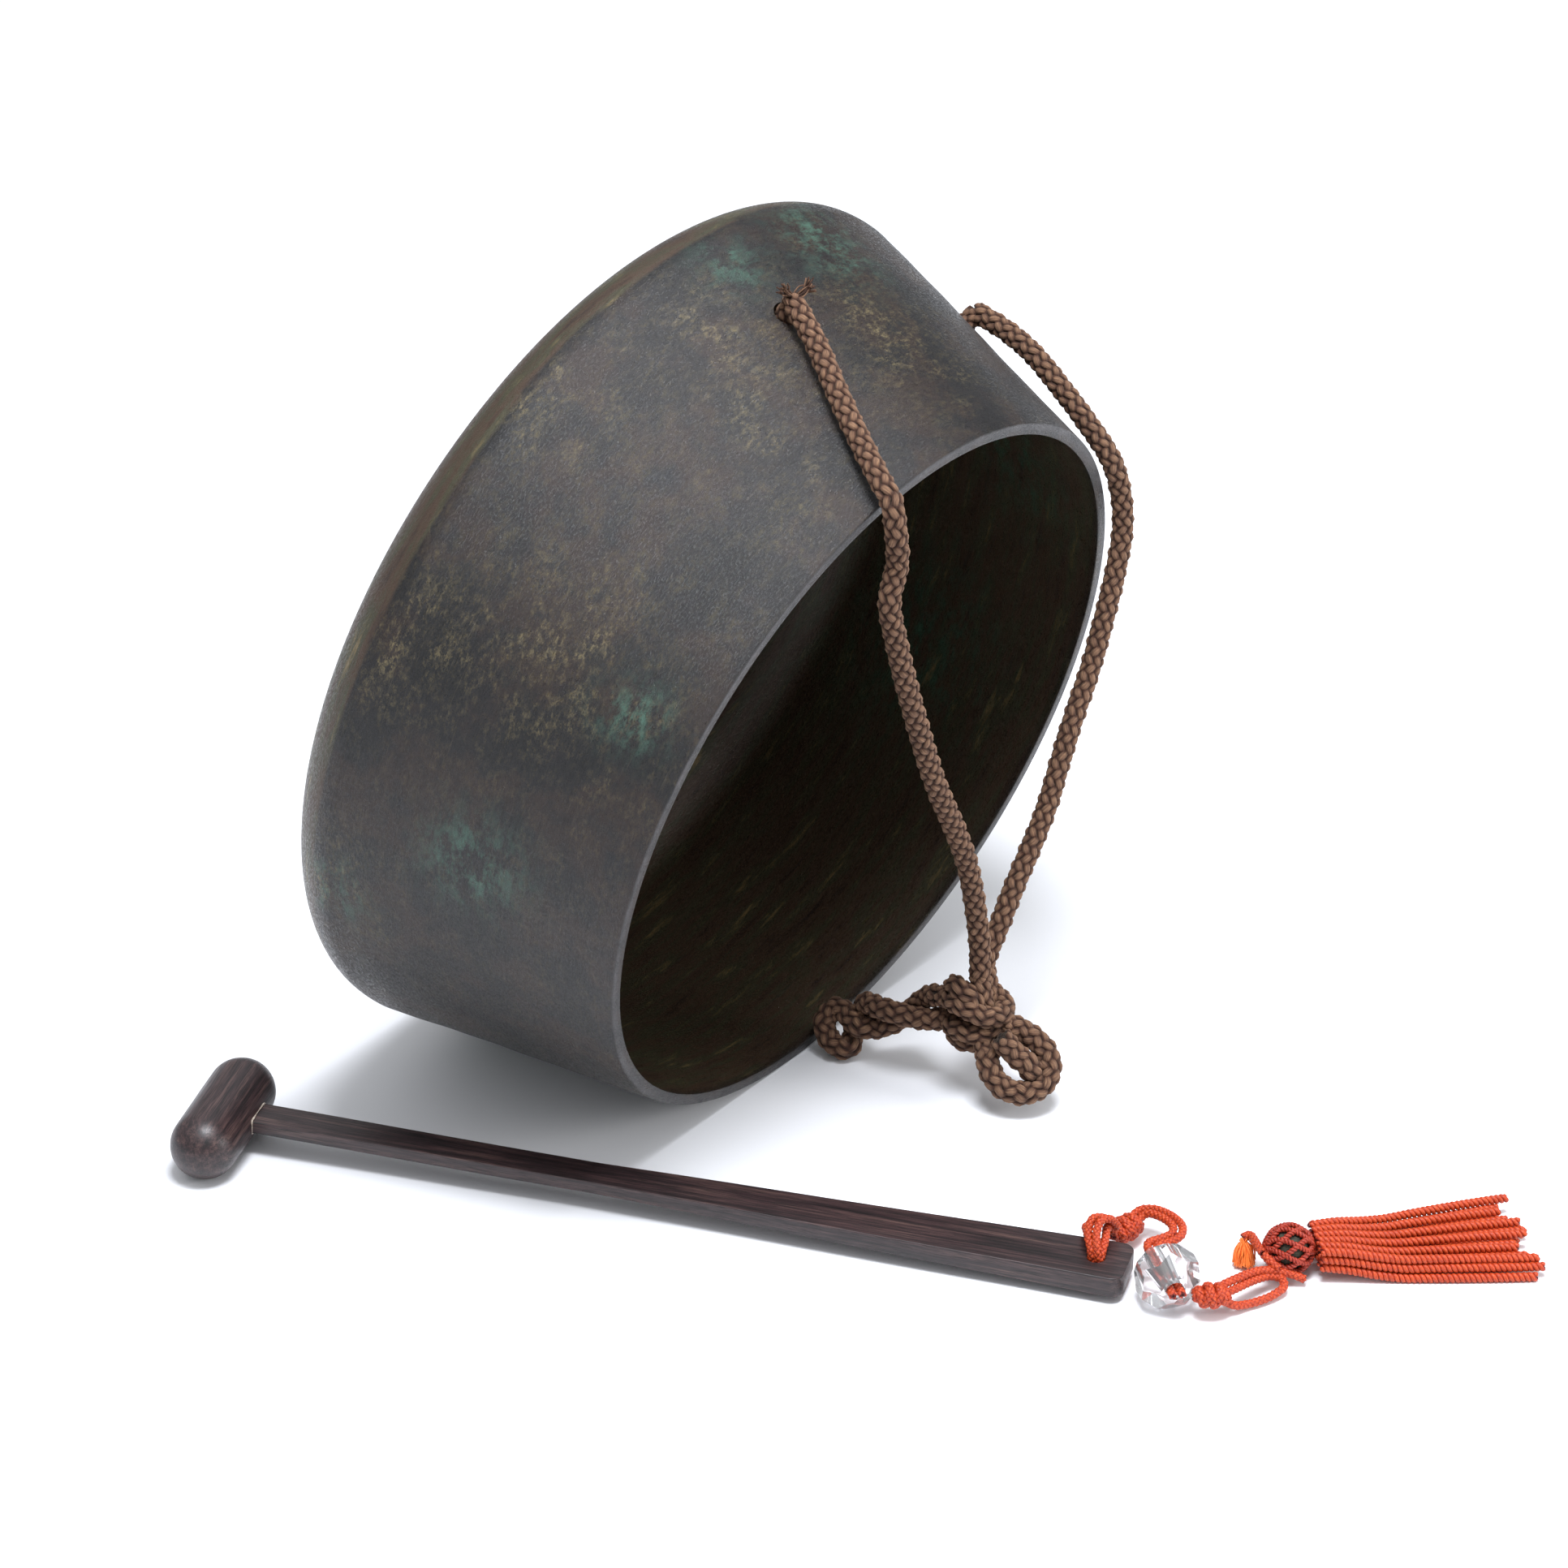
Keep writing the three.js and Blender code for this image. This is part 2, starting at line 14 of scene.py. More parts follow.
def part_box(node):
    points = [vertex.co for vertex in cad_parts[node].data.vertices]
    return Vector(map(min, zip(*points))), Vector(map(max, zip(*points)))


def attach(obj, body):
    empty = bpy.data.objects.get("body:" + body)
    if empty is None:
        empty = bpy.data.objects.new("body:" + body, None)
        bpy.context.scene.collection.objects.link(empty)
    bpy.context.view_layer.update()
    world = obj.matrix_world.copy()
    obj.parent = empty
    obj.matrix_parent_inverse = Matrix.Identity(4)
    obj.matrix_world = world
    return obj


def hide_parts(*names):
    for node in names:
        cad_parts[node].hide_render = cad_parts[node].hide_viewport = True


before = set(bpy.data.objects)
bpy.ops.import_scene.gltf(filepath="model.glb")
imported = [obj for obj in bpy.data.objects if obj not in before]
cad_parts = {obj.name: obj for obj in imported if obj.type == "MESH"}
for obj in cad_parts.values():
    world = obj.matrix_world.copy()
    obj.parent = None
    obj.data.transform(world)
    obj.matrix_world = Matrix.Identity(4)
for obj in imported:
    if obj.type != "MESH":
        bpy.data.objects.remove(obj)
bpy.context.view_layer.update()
rng = np.random.default_rng(7)
MM = 0.001

# ---------------------------------------------------------------- driving dimensions, mm
# Bell
MOUTH_RADIUS = 125
FACE_CORNER_RADIUS = 154.5
BELL_DEPTH = 117
WALL = 4
FACE = 5
SHOULDER_RADIUS = 16.5
SHOULDER_FLATNESS = 0.2
BELL_SIDES = 288
FACE_MIDDLE = 6  # radius of the fan of faces at its middle
MOST_WANDER = 0.33  # the wall is drawn in by this much and wanders about it
WANDER_RADIUS = 150
FRAME_SIDES = 64
HOLE_SETBACK = 65
HOLE_DIAMETER = 9.2
FRONT_HOLE = -1.5  # degrees round from the bell's top
REAR_HOLE = 50
# Hanging cord
ROPE = 7.4
ROPE_PITCH = 36
ROPE_PER_WAY = 6
LOOP_ROPE = 8.3  # slack braid swells
TAIL_ROPE = 7.9
STOPPER_SETBACK = 7
STOPPER_COIL = 3.4
# Mallet
HEAD_DIAMETER = 22.3
HEAD_LENGTH = 55
HEAD_OFFSET = 3
HANDLE_REACH = 298.5
NECK_WIDTH = 11.5
END_WIDTH = 21
NECK_THICKNESS = 4.4
END_THICKNESS = 7
TAPER_START = 125
END_CORNER = 4.5
CORD_HOLE = 6
CORD_HOLE_INSET = 10.5
# Silk, bead and tassel
SILK = 2.4
SILK_PITCH = 7
SILK_PER_WAY = 4
SILK_SIDES = 6
KNOT_TURNS = 3
SILK_FULL = 2.75  # the braid stands a little proud of its drawn size
GAP = 0.3
BEAD = 19.7
BEAD_BORE = 6.4
TASSEL_CORE = 13
NET_THICKNESS = 1.3
NET_STRANDS = 9  # each way
TASSEL_CORD = 2.6
TASSEL_LAY = 3.4
TASSEL_CORD_FULL = 3.0  # softly laid, so it swells beyond its drawn size
TASSEL_LENGTH = 66
TASSEL_COLUMNS = 6
TASSEL_LAYERS = 3
TASSEL_FAN = math.radians(50)
TASSEL_SPREAD = 1.7

# Patterns: the size of one cell in mm, as along and across, or round and deep.
BLOTCH = 33.33
SPECK = (2.778, 1.667)
CLUMP = (12.99, 9.091)
VERDIGRIS_SPOT = (8.333, 5)
CAST_STREAK = (25, 4)
LIP_PATCH = 8.333
TURNING_LINE = (20, 0.4545)
GRIT = (1.25, 0.625)
CASTING_PIT = (5.714, 2.857)
COTTON_FIBRE = (2.857, 0.2)
GRAIN_BAND = (47.62, 1.429)
WOOD_PORE = (8.333, 0.2778)
SILK_FIBRE = (1.667, 0.1429)
CORE_GRAIN = (2.5, 0.5)
GLUE_LUMP = 1.25
# Stains on the bell, as (degrees round from its top, depth, size).
VERDIGRIS_PATCHES = [(16, 84, 17), (-2, 88, 10), (-90, 50, 15), (-104, 96, 12), (-60, 20, 10),
                     (110, 60, 34), (70, 40, 26), (200, 80, 24)]
OCHRE_PATCHES = [(-57, 48, 34), (-12, 66, 24), (10, 42, 22), (-34, 92, 18), (-104, 100, 20),
                 (-66, 96, 20), (-24, 26, 16), (90, 50, 40), (180, 60, 40)]

FACET_SHARE = math.cos(math.pi / FRAME_SIDES)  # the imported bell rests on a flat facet
CONE_ANGLE = math.atan((FACE_CORNER_RADIUS - MOUTH_RADIUS) / BELL_DEPTH)
REST_ANGLE = math.atan((FACE_CORNER_RADIUS - MOUTH_RADIUS) * FACET_SHARE / BELL_DEPTH)

# The mouth's touching point on the floor, from which every spot below is measured.
bell_low, bell_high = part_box("bell_shell")
contact = Vector((
    (bell_low[0] + bell_high[0]) / 2,
    bell_low[1] + 2 * MOUTH_RADIUS * FACET_SHARE * math.sin(REST_ANGLE) * MM,
    0,
))


def at(x, y, z):
    """A spot given in millimetres from the mouth's touching point, in metres."""
    return contact + Vector((x, y, z)) * MM


# ---------------------------------------------------------------- camera
def make_camera():
    data = bpy.data.cameras.new("camera")
    data.sensor_width = 36
    data.lens = 130.43
    data.clip_end = 20
    camera = bpy.data.objects.new("camera", data)
    bpy.context.scene.collection.objects.link(camera)
    camera.location = at(-1269.0, -956.0, 1009.6)
    look = at(146.6, 113.1, 0) - camera.location
    camera.rotation_euler = look.to_track_quat("-Z", "Y").to_euler()
    bpy.context.scene.camera = camera


make_camera()


# ---------------------------------------------------------------- mesh tools
def hold(mesh, name, values, domain="POINT"):
    """Writes a number or a place for each point, or face corner, of a mesh."""
    values = np.asarray(values, np.float32)
    kind, field = ("FLOAT_VECTOR", "vector") if values.ndim == 2 else ("FLOAT", "value")
    held = mesh.attributes.new(name, kind, domain)
    held.data.foreach_set(field, values.ravel())


def places_of(mesh):
    """A mesh's points, in mm in its own frame."""
    co = np.zeros(len(mesh.vertices) * 3)
    mesh.vertices.foreach_get("co", co)
    return co.reshape(-1, 3) / MM


def smooth_but_sharp(mesh, degrees):
    """Smooth shading, with edges sharper than this angle kept crisp."""
    mesh.polygons.foreach_set("use_smooth", [True] * len(mesh.polygons))
    mesh.set_sharp_from_angle(angle=math.radians(degrees))


def new_object(name, verts, faces, rest=None, shade=None, smooth=True):
    """A mesh object from arrays in metres. rest is each point's place on the straight,
    unworked piece, in mm, which the grain and fibres follow; shade is one number a point."""
    mesh = bpy.data.meshes.new(name)
    mesh.from_pydata(np.asarray(verts, float).tolist(), [], faces)
    if rest is not None:
        hold(mesh, "rest", rest)
    if shade is not None:
        hold(mesh, "shade", shade)
    mesh.polygons.foreach_set("use_smooth", [smooth] * len(mesh.polygons))
    mesh.validate()
    mesh.update()
    made = bpy.data.objects.new(name, mesh)
    bpy.context.scene.collection.objects.link(made)
    return made


def finish_piece(piece, material, body, slot, *nodes):
    piece.data.transform(piece.matrix_world)
    piece.matrix_world = Matrix.Identity(4)
    piece.data.materials.append(material)
    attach(piece, body)
    if nodes:
        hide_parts(*nodes)
    return piece


def catmull(points, step):
    """A centripetal Catmull-Rom curve through the points, as places about step apart."""
    p = np.array([list(q) for q in points], float)
    p = np.vstack([2 * p[0] - p[1], p, 2 * p[-1] - p[-2]])
    out = []
    for a, b, c, d in zip(p[:-3], p[1:-2], p[2:-1], p[3:]):
        t0 = 0
        t1 = t0 + np.linalg.norm(b - a) ** 0.5
        t2 = t1 + np.linalg.norm(c - b) ** 0.5
        t3 = t2 + np.linalg.norm(d - c) ** 0.5
        t = np.linspace(t1, t2, 24, endpoint=False)[:, None]
        ab = (t1 - t) / (t1 - t0) * a + (t - t0) / (t1 - t0) * b
        bc = (t2 - t) / (t2 - t1) * b + (t - t1) / (t2 - t1) * c
        cd = (t3 - t) / (t3 - t2) * c + (t - t2) / (t3 - t2) * d
        ac = (t2 - t) / (t2 - t0) * ab + (t - t0) / (t2 - t0) * bc
        bd = (t3 - t) / (t3 - t1) * bc + (t - t1) / (t3 - t1) * cd
        out.append((t2 - t) / (t2 - t1) * ac + (t - t1) / (t2 - t1) * bd)
    out.append(p[-2:-1])
    return evenly(np.vstack(out), step)


def evenly(line, step):
    """The same line with its places about step apart."""
    along = np.concatenate([[0], np.cumsum(np.linalg.norm(np.diff(line, axis=0), axis=1))])
    count = max(2, int(round(along[-1] / step)) + 1)
    stations = np.linspace(0, along[-1], count)
    return np.stack([np.interp(stations, along, line[:, k]) for k in range(3)], axis=1)


def length_of(line):
    return float(np.linalg.norm(np.diff(np.asarray(line), axis=0), axis=1).sum())


def carried_frames(line):
    """Tangents and two directions across a line, turned as little as possible along it."""
    tangent = np.gradient(line, axis=0)
    tangent /= np.linalg.norm(tangent, axis=1, keepdims=True)
    up = np.array([0.0, 0.0, 1.0])
    if abs(tangent[0] @ up) > 0.9:
        up = np.array([1.0, 0.0, 0.0])
    across = [up - tangent[0] * (up @ tangent[0])]
    for here in tangent[1:]:
        last = across[-1] - here * (across[-1] @ here)
        across.append(last / np.linalg.norm(last))
    across[0] /= np.linalg.norm(across[0])
    across = np.array(across)
    return tangent, across, np.cross(tangent, across)


class Surface:
    """Gathers tubes into the points, faces and markings of one mesh."""

    def __init__(self):
        self.verts, self.faces, self.rest, self.shade, self.count = [], [], [], [], 0

    def tube(self, line, wide, thick, outward=None, sides=8, offset=0.0, shade=0.0, axis=None):
        """An oval tube along a line in mm: thick across the outward direction, wide beside
        it. Either may be one number or one a station. Both ends are closed and rounded.
        With an axis, shade is each point's distance from it in mm, else it is as given."""
        count = len(line)
        tangent, across, _ = carried_frames(line)
        if outward is not None:
            across = outward - tangent * (outward * tangent).sum(1, keepdims=True)
            across /= np.linalg.norm(across, axis=1, keepdims=True)
        beside = np.cross(tangent, across)
        along = np.concatenate([[0], np.cumsum(np.linalg.norm(np.diff(line, axis=0), axis=1))])
        wide = np.broadcast_to(np.asarray(wide, float), count)[:, None, None]
        thick = np.broadcast_to(np.asarray(thick, float), count)[:, None, None]
        turn = np.arange(sides) * 2 * math.pi / sides
        round_in = (np.cos(turn)[None, :, None] * across[:, None, :] * thick
                    + np.sin(turn)[None, :, None] * beside[:, None, :] * wide) / 2
        rings = line[:, None, :] + round_in
        base = self.count
        self.verts.append(rings.reshape(-1, 3))
        rest = np.zeros((count, sides, 3))
        rest[:, :, 0] = along[:, None] + offset
        rest[:, :, 1] = np.cos(turn)[None, :] * thick[:, :, 0] / 2
        rest[:, :, 2] = np.sin(turn)[None, :] * wide[:, :, 0] / 2
        self.rest.append(rest.reshape(-1, 3))
        if axis is None:
            shades = np.repeat(np.broadcast_to(np.asarray(shade, float), count)[:, None], sides, 1)
        else:
            shades = np.linalg.norm(rings - axis[:, None, :], axis=2) * shade
        self.shade.append(shades.ravel())
        self.count += count * sides
        for i in range(count - 1):
            low = base + i * sides
            for j in range(sides):
                k = (j + 1) % sides
                self.faces.append((low + j, low + k, low + sides + k, low + sides + j))
        for end, way, last in ((0, -1, True), (count - 1, 1, False)):
            tip = line[end] + way * tangent[end] * float(thick[end, 0, 0]) * 0.35
            self.verts.append(tip[None, :])
            self.rest.append(np.array([[along[end] + offset, 0, 0]]))
            self.shade.append(shades[end, :1])
            ring = base + end * sides
            for j in range(sides):
                k = (j + 1) % sides
                pair = (ring + k, ring + j) if last else (ring + j, ring + k)
                self.faces.append((*pair, self.count))
            self.count += 1

    def object(self, name):
        verts = np.vstack(self.verts) * MM + np.array(contact)
        return new_object(name, verts, self.faces, np.vstack(self.rest), np.concatenate(self.shade))


def plait(surface, route, diameter, pitch, per_way=ROPE_PER_WAY, sides=8):
    """A round braid: per_way strands wind each way, each passing over one and under one."""
    line = catmull(route, pitch / per_way / 8)
    _, across, beside = carried_frames(line)
    along = np.linspace(0, length_of(line), len(line))
    thick = 0.29 * diameter
    wave = 0.1 * diameter
    middle = 0.525 * diameter - thick / 2 - wave
    wide = 2.05 * diameter / per_way
    for way in (1, -1):
        for strand in range(per_way):
            angle = way * (2 * math.pi * along / pitch) + 2 * math.pi * strand / per_way
            out = np.cos(angle)[:, None] * across + np.sin(angle)[:, None] * beside
            swing = np.cos(per_way * 2 * math.pi * along / pitch)
            radius = middle + way * wave * swing
            jitter = rng.uniform(-0.01, 0.01) * diameter
            place = line + out * (radius + jitter)[:, None]
            # Each point's distance from the axis, against the radius, sets how much painted shade it takes.
            surface.tube(place, wide, thick, out, sides,
                         offset=rng.uniform(0, 500), shade=2 / diameter, axis=line)
    return line


def laid(surface, route, diameter, pitch, sides=8, turn=0.0):
    """A laid cord: its two plies wind round each other one way."""
    line = catmull(route, pitch / 14)
    _, across, beside = carried_frames(line)
    along = np.linspace(0, length_of(line), len(line))
    ply = diameter * 0.58
    radius = diameter * 0.52 - ply / 2
    for strand in (0, 0.5):
        angle = 2 * math.pi * (along / pitch + strand) + turn
        out = np.cos(angle)[:, None] * across + np.sin(angle)[:, None] * beside
        # Each point's distance from the axis, against the radius, sets how much painted shade it takes.
        surface.tube(line + out * radius, ply, ply, out, sides,
                     offset=rng.uniform(0, 500), shade=2 / diameter, axis=line)
    return line


# ---------------------------------------------------------------- material tools
def linear(hex_colour):
    """An sRGB hex value as linear RGBA."""
    out = []
    for i in (0, 2, 4):
        c = int(hex_colour[i:i + 2], 16) / 255
        out.append(c / 12.92 if c <= 0.04045 else ((c + 0.055) / 1.055) ** 2.4)
    return (*out, 1.0)


def grey(value):
    return (value, value, value, 1.0)


def cells(*sizes):
    """Cells a millimetre in each direction, from the size of one cell in mm."""
    return tuple(1 / size for size in sizes)


def feed(made, inputs):
    """Sets a node's inputs, or links those whose value is another node's output."""
    for socket, value in inputs.items():
        if isinstance(value, bpy.types.NodeSocket):
            made.id_data.links.new(value, made.inputs[socket])
        else:
            made.inputs[socket].default_value = value


def add_node(tree, kind, output, inputs=None, stops=(), **settings):
    """Adds a node with its settings, inputs and ramp stops, and gives one of its outputs."""
    made = tree.nodes.new("ShaderNode" + kind)
    for key, value in settings.items():
        setattr(made, key, value)
    feed(made, inputs or {})
    if stops:
        bands = made.color_ramp.elements
        while len(bands) < len(stops):
            bands.new(0.5)
        for band, (place, colour) in zip(bands, stops):
            band.position = place
            band.color = colour
    return made.outputs[output]


def start_material(name, values):
    """A new material, a function that adds a node to it, and its shader with values set."""
    material = bpy.data.materials.new(name)
    material.use_nodes = True
    shader = material.node_tree.nodes["Principled BSDF"]
    feed(shader, values)
    return material, partial(add_node, material.node_tree), shader


# ---------------------------------------------------------------- materials
def fibre_pattern(add, size, detail, rough):
    """An uneven pattern whose cells are drawn out along the straight, unworked piece."""
    rest = add("Attribute", "Vector", attribute_name="rest")
    long, across = size
    drawn = add("Mapping", "Vector", {"Vector": rest, "Scale": cells(long, across, across)})
    return add("TexNoise", "Fac", {"Vector": drawn, "Scale": 1, "Detail": detail, "Roughness": rough})


def patinated_bronze():
    """Cast bronze, turned, then patinated dark brown-black: a satin skin with ochre mottling,
    a few verdigris patches and faint turning lines. The ground lip is worn brighter over its outer half;
    its inner half keeps the dark skin as painted shade."""
    material, add, shader = start_material("patinated_bronze", {"Specular IOR Level": 0.6})
    rest = add("Attribute", "Vector", attribute_name="rest")
    wrap = add("Attribute", "Vector", attribute_name="wrap")

    def stretched(round_mm, deep_mm):
        """Places wrapped round the wall, counted in cells of this size."""
        return add("Mapping", "Vector", {"Vector": wrap, "Scale": cells(round_mm, deep_mm, deep_mm)})

    # The patina's slow change from brown to blue-black, in blotches about 33 mm across.
    blotch = add("TexNoise", "Fac", {
        "Vector": rest, "Scale": 1 / BLOTCH, "Detail": 6, "Roughness": 0.65})
    skin = add("ValToRGB", "Color", {"Fac": blotch}, stops=[
        (0.36, linear("09090b")), (0.47, linear("131113")),
        (0.56, linear("241915")), (0.68, linear("101216"))])
    # Ochre mineral deposit: specks under 3 mm, gathered in clumps.
    fine = add("TexNoise", "Fac", {
        "Vector": stretched(*SPECK), "Scale": 1, "Detail": 9, "Roughness": 0.88})
    speckle = add("ValToRGB", "Color", {"Fac": fine}, stops=[(0.49, grey(0)), (0.6, grey(0.95))])
    gathered = add("TexNoise", "Fac", {
        "Vector": stretched(*CLUMP), "Scale": 1, "Detail": 5, "Roughness": 0.7})
    clumps = add("ValToRGB", "Color", {"Fac": gathered}, stops=[(0.42, grey(0.08)), (0.62, grey(1))])
    ochre = add("Attribute", "Fac", attribute_name="ochre")
    worn = add("Math", 0, {0: speckle, 1: ochre}, operation="MULTIPLY")
    worn = add("Math", 0, {0: worn, 1: clumps}, operation="MULTIPLY")
    skin = add("Mix", 2, {0: worn, 6: skin, 7: linear("7e7150")}, data_type="RGBA")
    # Verdigris in powdery spots of about 5 mm, where the bell has been damp.
    spots = add("TexNoise", "Fac", {
        "Vector": stretched(*VERDIGRIS_SPOT), "Scale": 1, "Detail": 8, "Roughness": 0.8})
    green = add("ValToRGB", "Color", {"Fac": spots}, stops=[(0.46, grey(0)), (0.62, grey(0.85))])
    damp = add("Attribute", "Fac", attribute_name="verdigris")
    green = add("Math", 0, {0: green, 1: damp}, operation="MULTIPLY")
    skin = add("Mix", 2, {0: green, 6: skin, 7: linear("46695a")}, data_type="RGBA")
    # The inside is left rough from the casting, browner and streaked round.
    cast = add("TexNoise", "Fac", {
        "Vector": stretched(*CAST_STREAK), "Scale": 1, "Detail": 8, "Roughness": 0.7})
    inner = add("ValToRGB", "Color", {"Fac": cast}, stops=[
        (0.3, linear("241a15")), (0.45, linear("443326")),
        (0.58, linear("383827")), (0.75, linear("86704a"))])
    inner = add("Mix", 2, {0: green, 6: inner, 7: linear("2c5240")}, data_type="RGBA")
    inside = add("Attribute", "Fac", attribute_name="inside")
    skin = add("Mix", 2, {0: inside, 6: skin, 7: inner}, data_type="RGBA")
    # The lip, ground level and darkened again in patches. The lip marking fades out across its inner half,
    # which keeps the dark skin as painted shade.
    ground = add("TexNoise", "Fac", {
        "Vector": rest, "Scale": 1 / LIP_PATCH, "Detail": 5, "Roughness": 0.6})
    lip = add("ValToRGB", "Color", {"Fac": ground}, stops=[
        (0.35, linear("181718")), (0.65, linear("3f3c3d"))])
    rim = add("Attribute", "Fac", attribute_name="lip")
    skin = add("Mix", 2, {0: rim, 6: skin, 7: lip}, data_type="RGBA")
    # Turning lines are finer than they can show, so they are drawn 0.45 mm wide. They bare
    # the metal a little.
    lines = add("TexNoise", "Fac", {
        "Vector": stretched(*TURNING_LINE), "Scale": 1, "Detail": 4, "Roughness": 0.7})
    bare = add("ValToRGB", "Color", {"Fac": lines}, stops=[(0.6, grey(0)), (0.7, grey(0.45))])
    skin = add("Mix", 2, {0: bare, 6: skin, 7: linear("74706a")}, data_type="RGBA")
    shining = add("ValToRGB", "Color", {"Fac": lines}, stops=[(0.56, grey(0.2)), (0.68, grey(0.85))])
    # Grit under a millimetre breaks the sheen into dull and bright specks.
    grit = add("TexNoise", "Fac", {
        "Vector": stretched(*GRIT), "Scale": 1, "Detail": 5, "Roughness": 0.8})
    rough = add("ValToRGB", "Color", {"Fac": grit}, stops=[(0.4, grey(0.17)), (0.58, grey(0.56))])
    pitted = add("TexNoise", "Fac", {
        "Vector": stretched(*CASTING_PIT), "Scale": 1, "Detail": 8, "Roughness": 0.82})
    low = add("Bump", "Normal", {"Height": pitted, "Distance": 0.75 * MM, "Strength": 0.55})
    relief = add("Bump", "Normal", {
        "Height": lines, "Distance": 0.1 * MM, "Strength": 0.6, "Normal": low})
    feed(shader, {"Base Color": skin, "Metallic": shining, "Roughness": rough, "Normal": relief})
    return material


def cotton_braid():
    """Dyed cotton braid: matt brown yarn whose fibres catch light along each strand, with
    painted shade darkening the hollows between the strands."""
    material, add, shader = start_material("braided_cotton", {
        "Roughness": 0.9, "Sheen Weight": 0.2, "Sheen Roughness": 0.5, "Sheen Tint": linear("d8b696")})
    fibres = fibre_pattern(add, COTTON_FIBRE, 4, 0.65)
    colour = add("ValToRGB", "Color", {"Fac": fibres}, stops=[
        (0.25, linear("432f24")), (0.5, linear("6e503d")), (0.78, linear("aa8664"))])
    # Painted shade: points lying nearer the braid's axis, down between the strands, are darkened.
    shade = add("Attribute", "Fac", attribute_name="shade")
    painted_crevice_shade = add("ValToRGB", "Color", {"Fac": shade}, stops=[
        (0.62, linear("26151a")), (0.88, linear("8c7066")), (1.0, linear("ffffff"))])
    colour = add("Mix", 2, {0: 1.0, 6: colour, 7: painted_crevice_shade}, data_type="RGBA", blend_type="MULTIPLY")
    relief = add("Bump", "Normal", {"Height": fibres, "Distance": 0.3 * MM, "Strength": 0.9})
    feed(shader, {"Base Color": colour, "Normal": relief})
    return material


def oiled_rosewood():
    """Rosewood, shaped by hand and oiled: a low sheen over purple-brown wood whose black
    pores and streaks run along the grain."""
    material, add, shader = start_material("oiled_rosewood", {
        "Coat Weight": 0.12, "Coat Roughness": 0.3})
    bands = fibre_pattern(add, GRAIN_BAND, 6, 0.65)
    pores = fibre_pattern(add, WOOD_PORE, 4, 0.65)
    colour = add("ValToRGB", "Color", {"Fac": bands}, stops=[
        (0.34, linear("141011")), (0.46, linear("2e2123")),
        (0.56, linear("433131")), (0.72, linear("5e4943"))])
    black = add("ValToRGB", "Color", {"Fac": pores}, stops=[(0.48, grey(0)), (0.62, grey(0.92))])
    colour = add("Mix", 2, {0: black, 6: colour, 7: linear("120c0b")}, data_type="RGBA")
    rough = add("ValToRGB", "Color", {"Fac": pores}, stops=[(0.4, grey(0.34)), (0.7, grey(0.58))])
    sunk = add("Bump", "Normal", {"Height": pores, "Distance": -0.06 * MM, "Strength": 0.6})
    feed(shader, {"Base Color": colour, "Roughness": rough, "Normal": sunk})
    return material


def dyed_silk(name, light, middle, dark):
    """Dyed silk thread: soft lustre along the fibres, with painted shade darkening the hollows between the
    strands.
    """
    material, add, shader = start_material(name, {
        "Roughness": 0.5, "Sheen Weight": 0.05, "Sheen Roughness": 0.4, "Sheen Tint": linear("ffb090"),
        "Subsurface Weight": 0.08, "Subsurface Radius": (0.0012, 0.0003, 0.0001)})
    fibres = fibre_pattern(add, SILK_FIBRE, 3, 0.6)
    colour = add("ValToRGB", "Color", {"Fac": fibres}, stops=[
        (0.25, linear(dark)), (0.48, linear(middle)), (0.75, linear(light))])
    # Painted shade: points lying nearer the cord's axis, down between the strands or plies, are darkened.
    shade = add("Attribute", "Fac", attribute_name="shade")
    painted_crevice_shade = add("ValToRGB", "Color", {"Fac": shade}, stops=[
        (0.55, linear("6a1c1c")), (0.85, linear("d8a098")), (1.0, linear("ffffff"))])
    colour = add("Mix", 2, {0: 1.0, 6: colour, 7: painted_crevice_shade}, data_type="RGBA", blend_type="MULTIPLY")
    relief = add("Bump", "Normal", {"Height": fibres, "Distance": 0.12 * MM, "Strength": 0.7})
    feed(shader, {"Base Color": colour, "Normal": relief})
    return material


def rock_crystal():
    """Rock crystal, cut and polished: clear, with crisp facets."""
    material, _, _ = start_material("rock_crystal", {
        "Roughness": 0.03, "IOR": 1.5, "Transmission Weight": 0.93, "Base Color": linear("fbfbfc")})
    return material


def turned_core():
    """The turned wooden ball inside the tassel's net: matt olive-black."""
    material, add, shader = start_material("turned_core", {"Roughness": 0.8})
    grain = fibre_pattern(add, CORE_GRAIN, 4, 0.55)
    colour = add("ValToRGB", "Color", {"Fac": grain}, stops=[
        (0.35, linear("24231c")), (0.7, linear("4a4838"))])
    relief = add("Bump", "Normal", {"Height": grain, "Distance": 0.1 * MM, "Strength": 1})
    feed(shader, {"Base Color": colour, "Normal": relief})
    return material


def dried_glue():
    """A bead of dried hide glue: pale, slightly glossy and uneven."""
    material, add, shader = start_material("dried_glue", {"Roughness": 0.4})
    lumps = fibre_pattern(add, (GLUE_LUMP, GLUE_LUMP), 3, 0.55)
    colour = add("ValToRGB", "Color", {"Fac": lumps}, stops=[
        (0.35, linear("8d7d6e")), (0.7, linear("cfc4b6"))])
    relief = add("Bump", "Normal", {"Height": lumps, "Distance": 0.2 * MM, "Strength": 1})
    feed(shader, {"Base Color": colour, "Normal": relief})
    return material


BRONZE = patinated_bronze()
COTTON = cotton_braid()
ROSEWOOD = oiled_rosewood()
SILK_CORD = dyed_silk("dyed_silk_cord", "e86420", "b83a10", "701c08")
SILK_NET = dyed_silk("dyed_silk_net", "cc4a28", "a02c16", "54140c")
SILK_TUFT = dyed_silk("dyed_silk_floss", "ffa858", "fc8030", "ee5c1c")
CRYSTAL = rock_crystal()
CORE = turned_core()
GLUE = dried_glue()


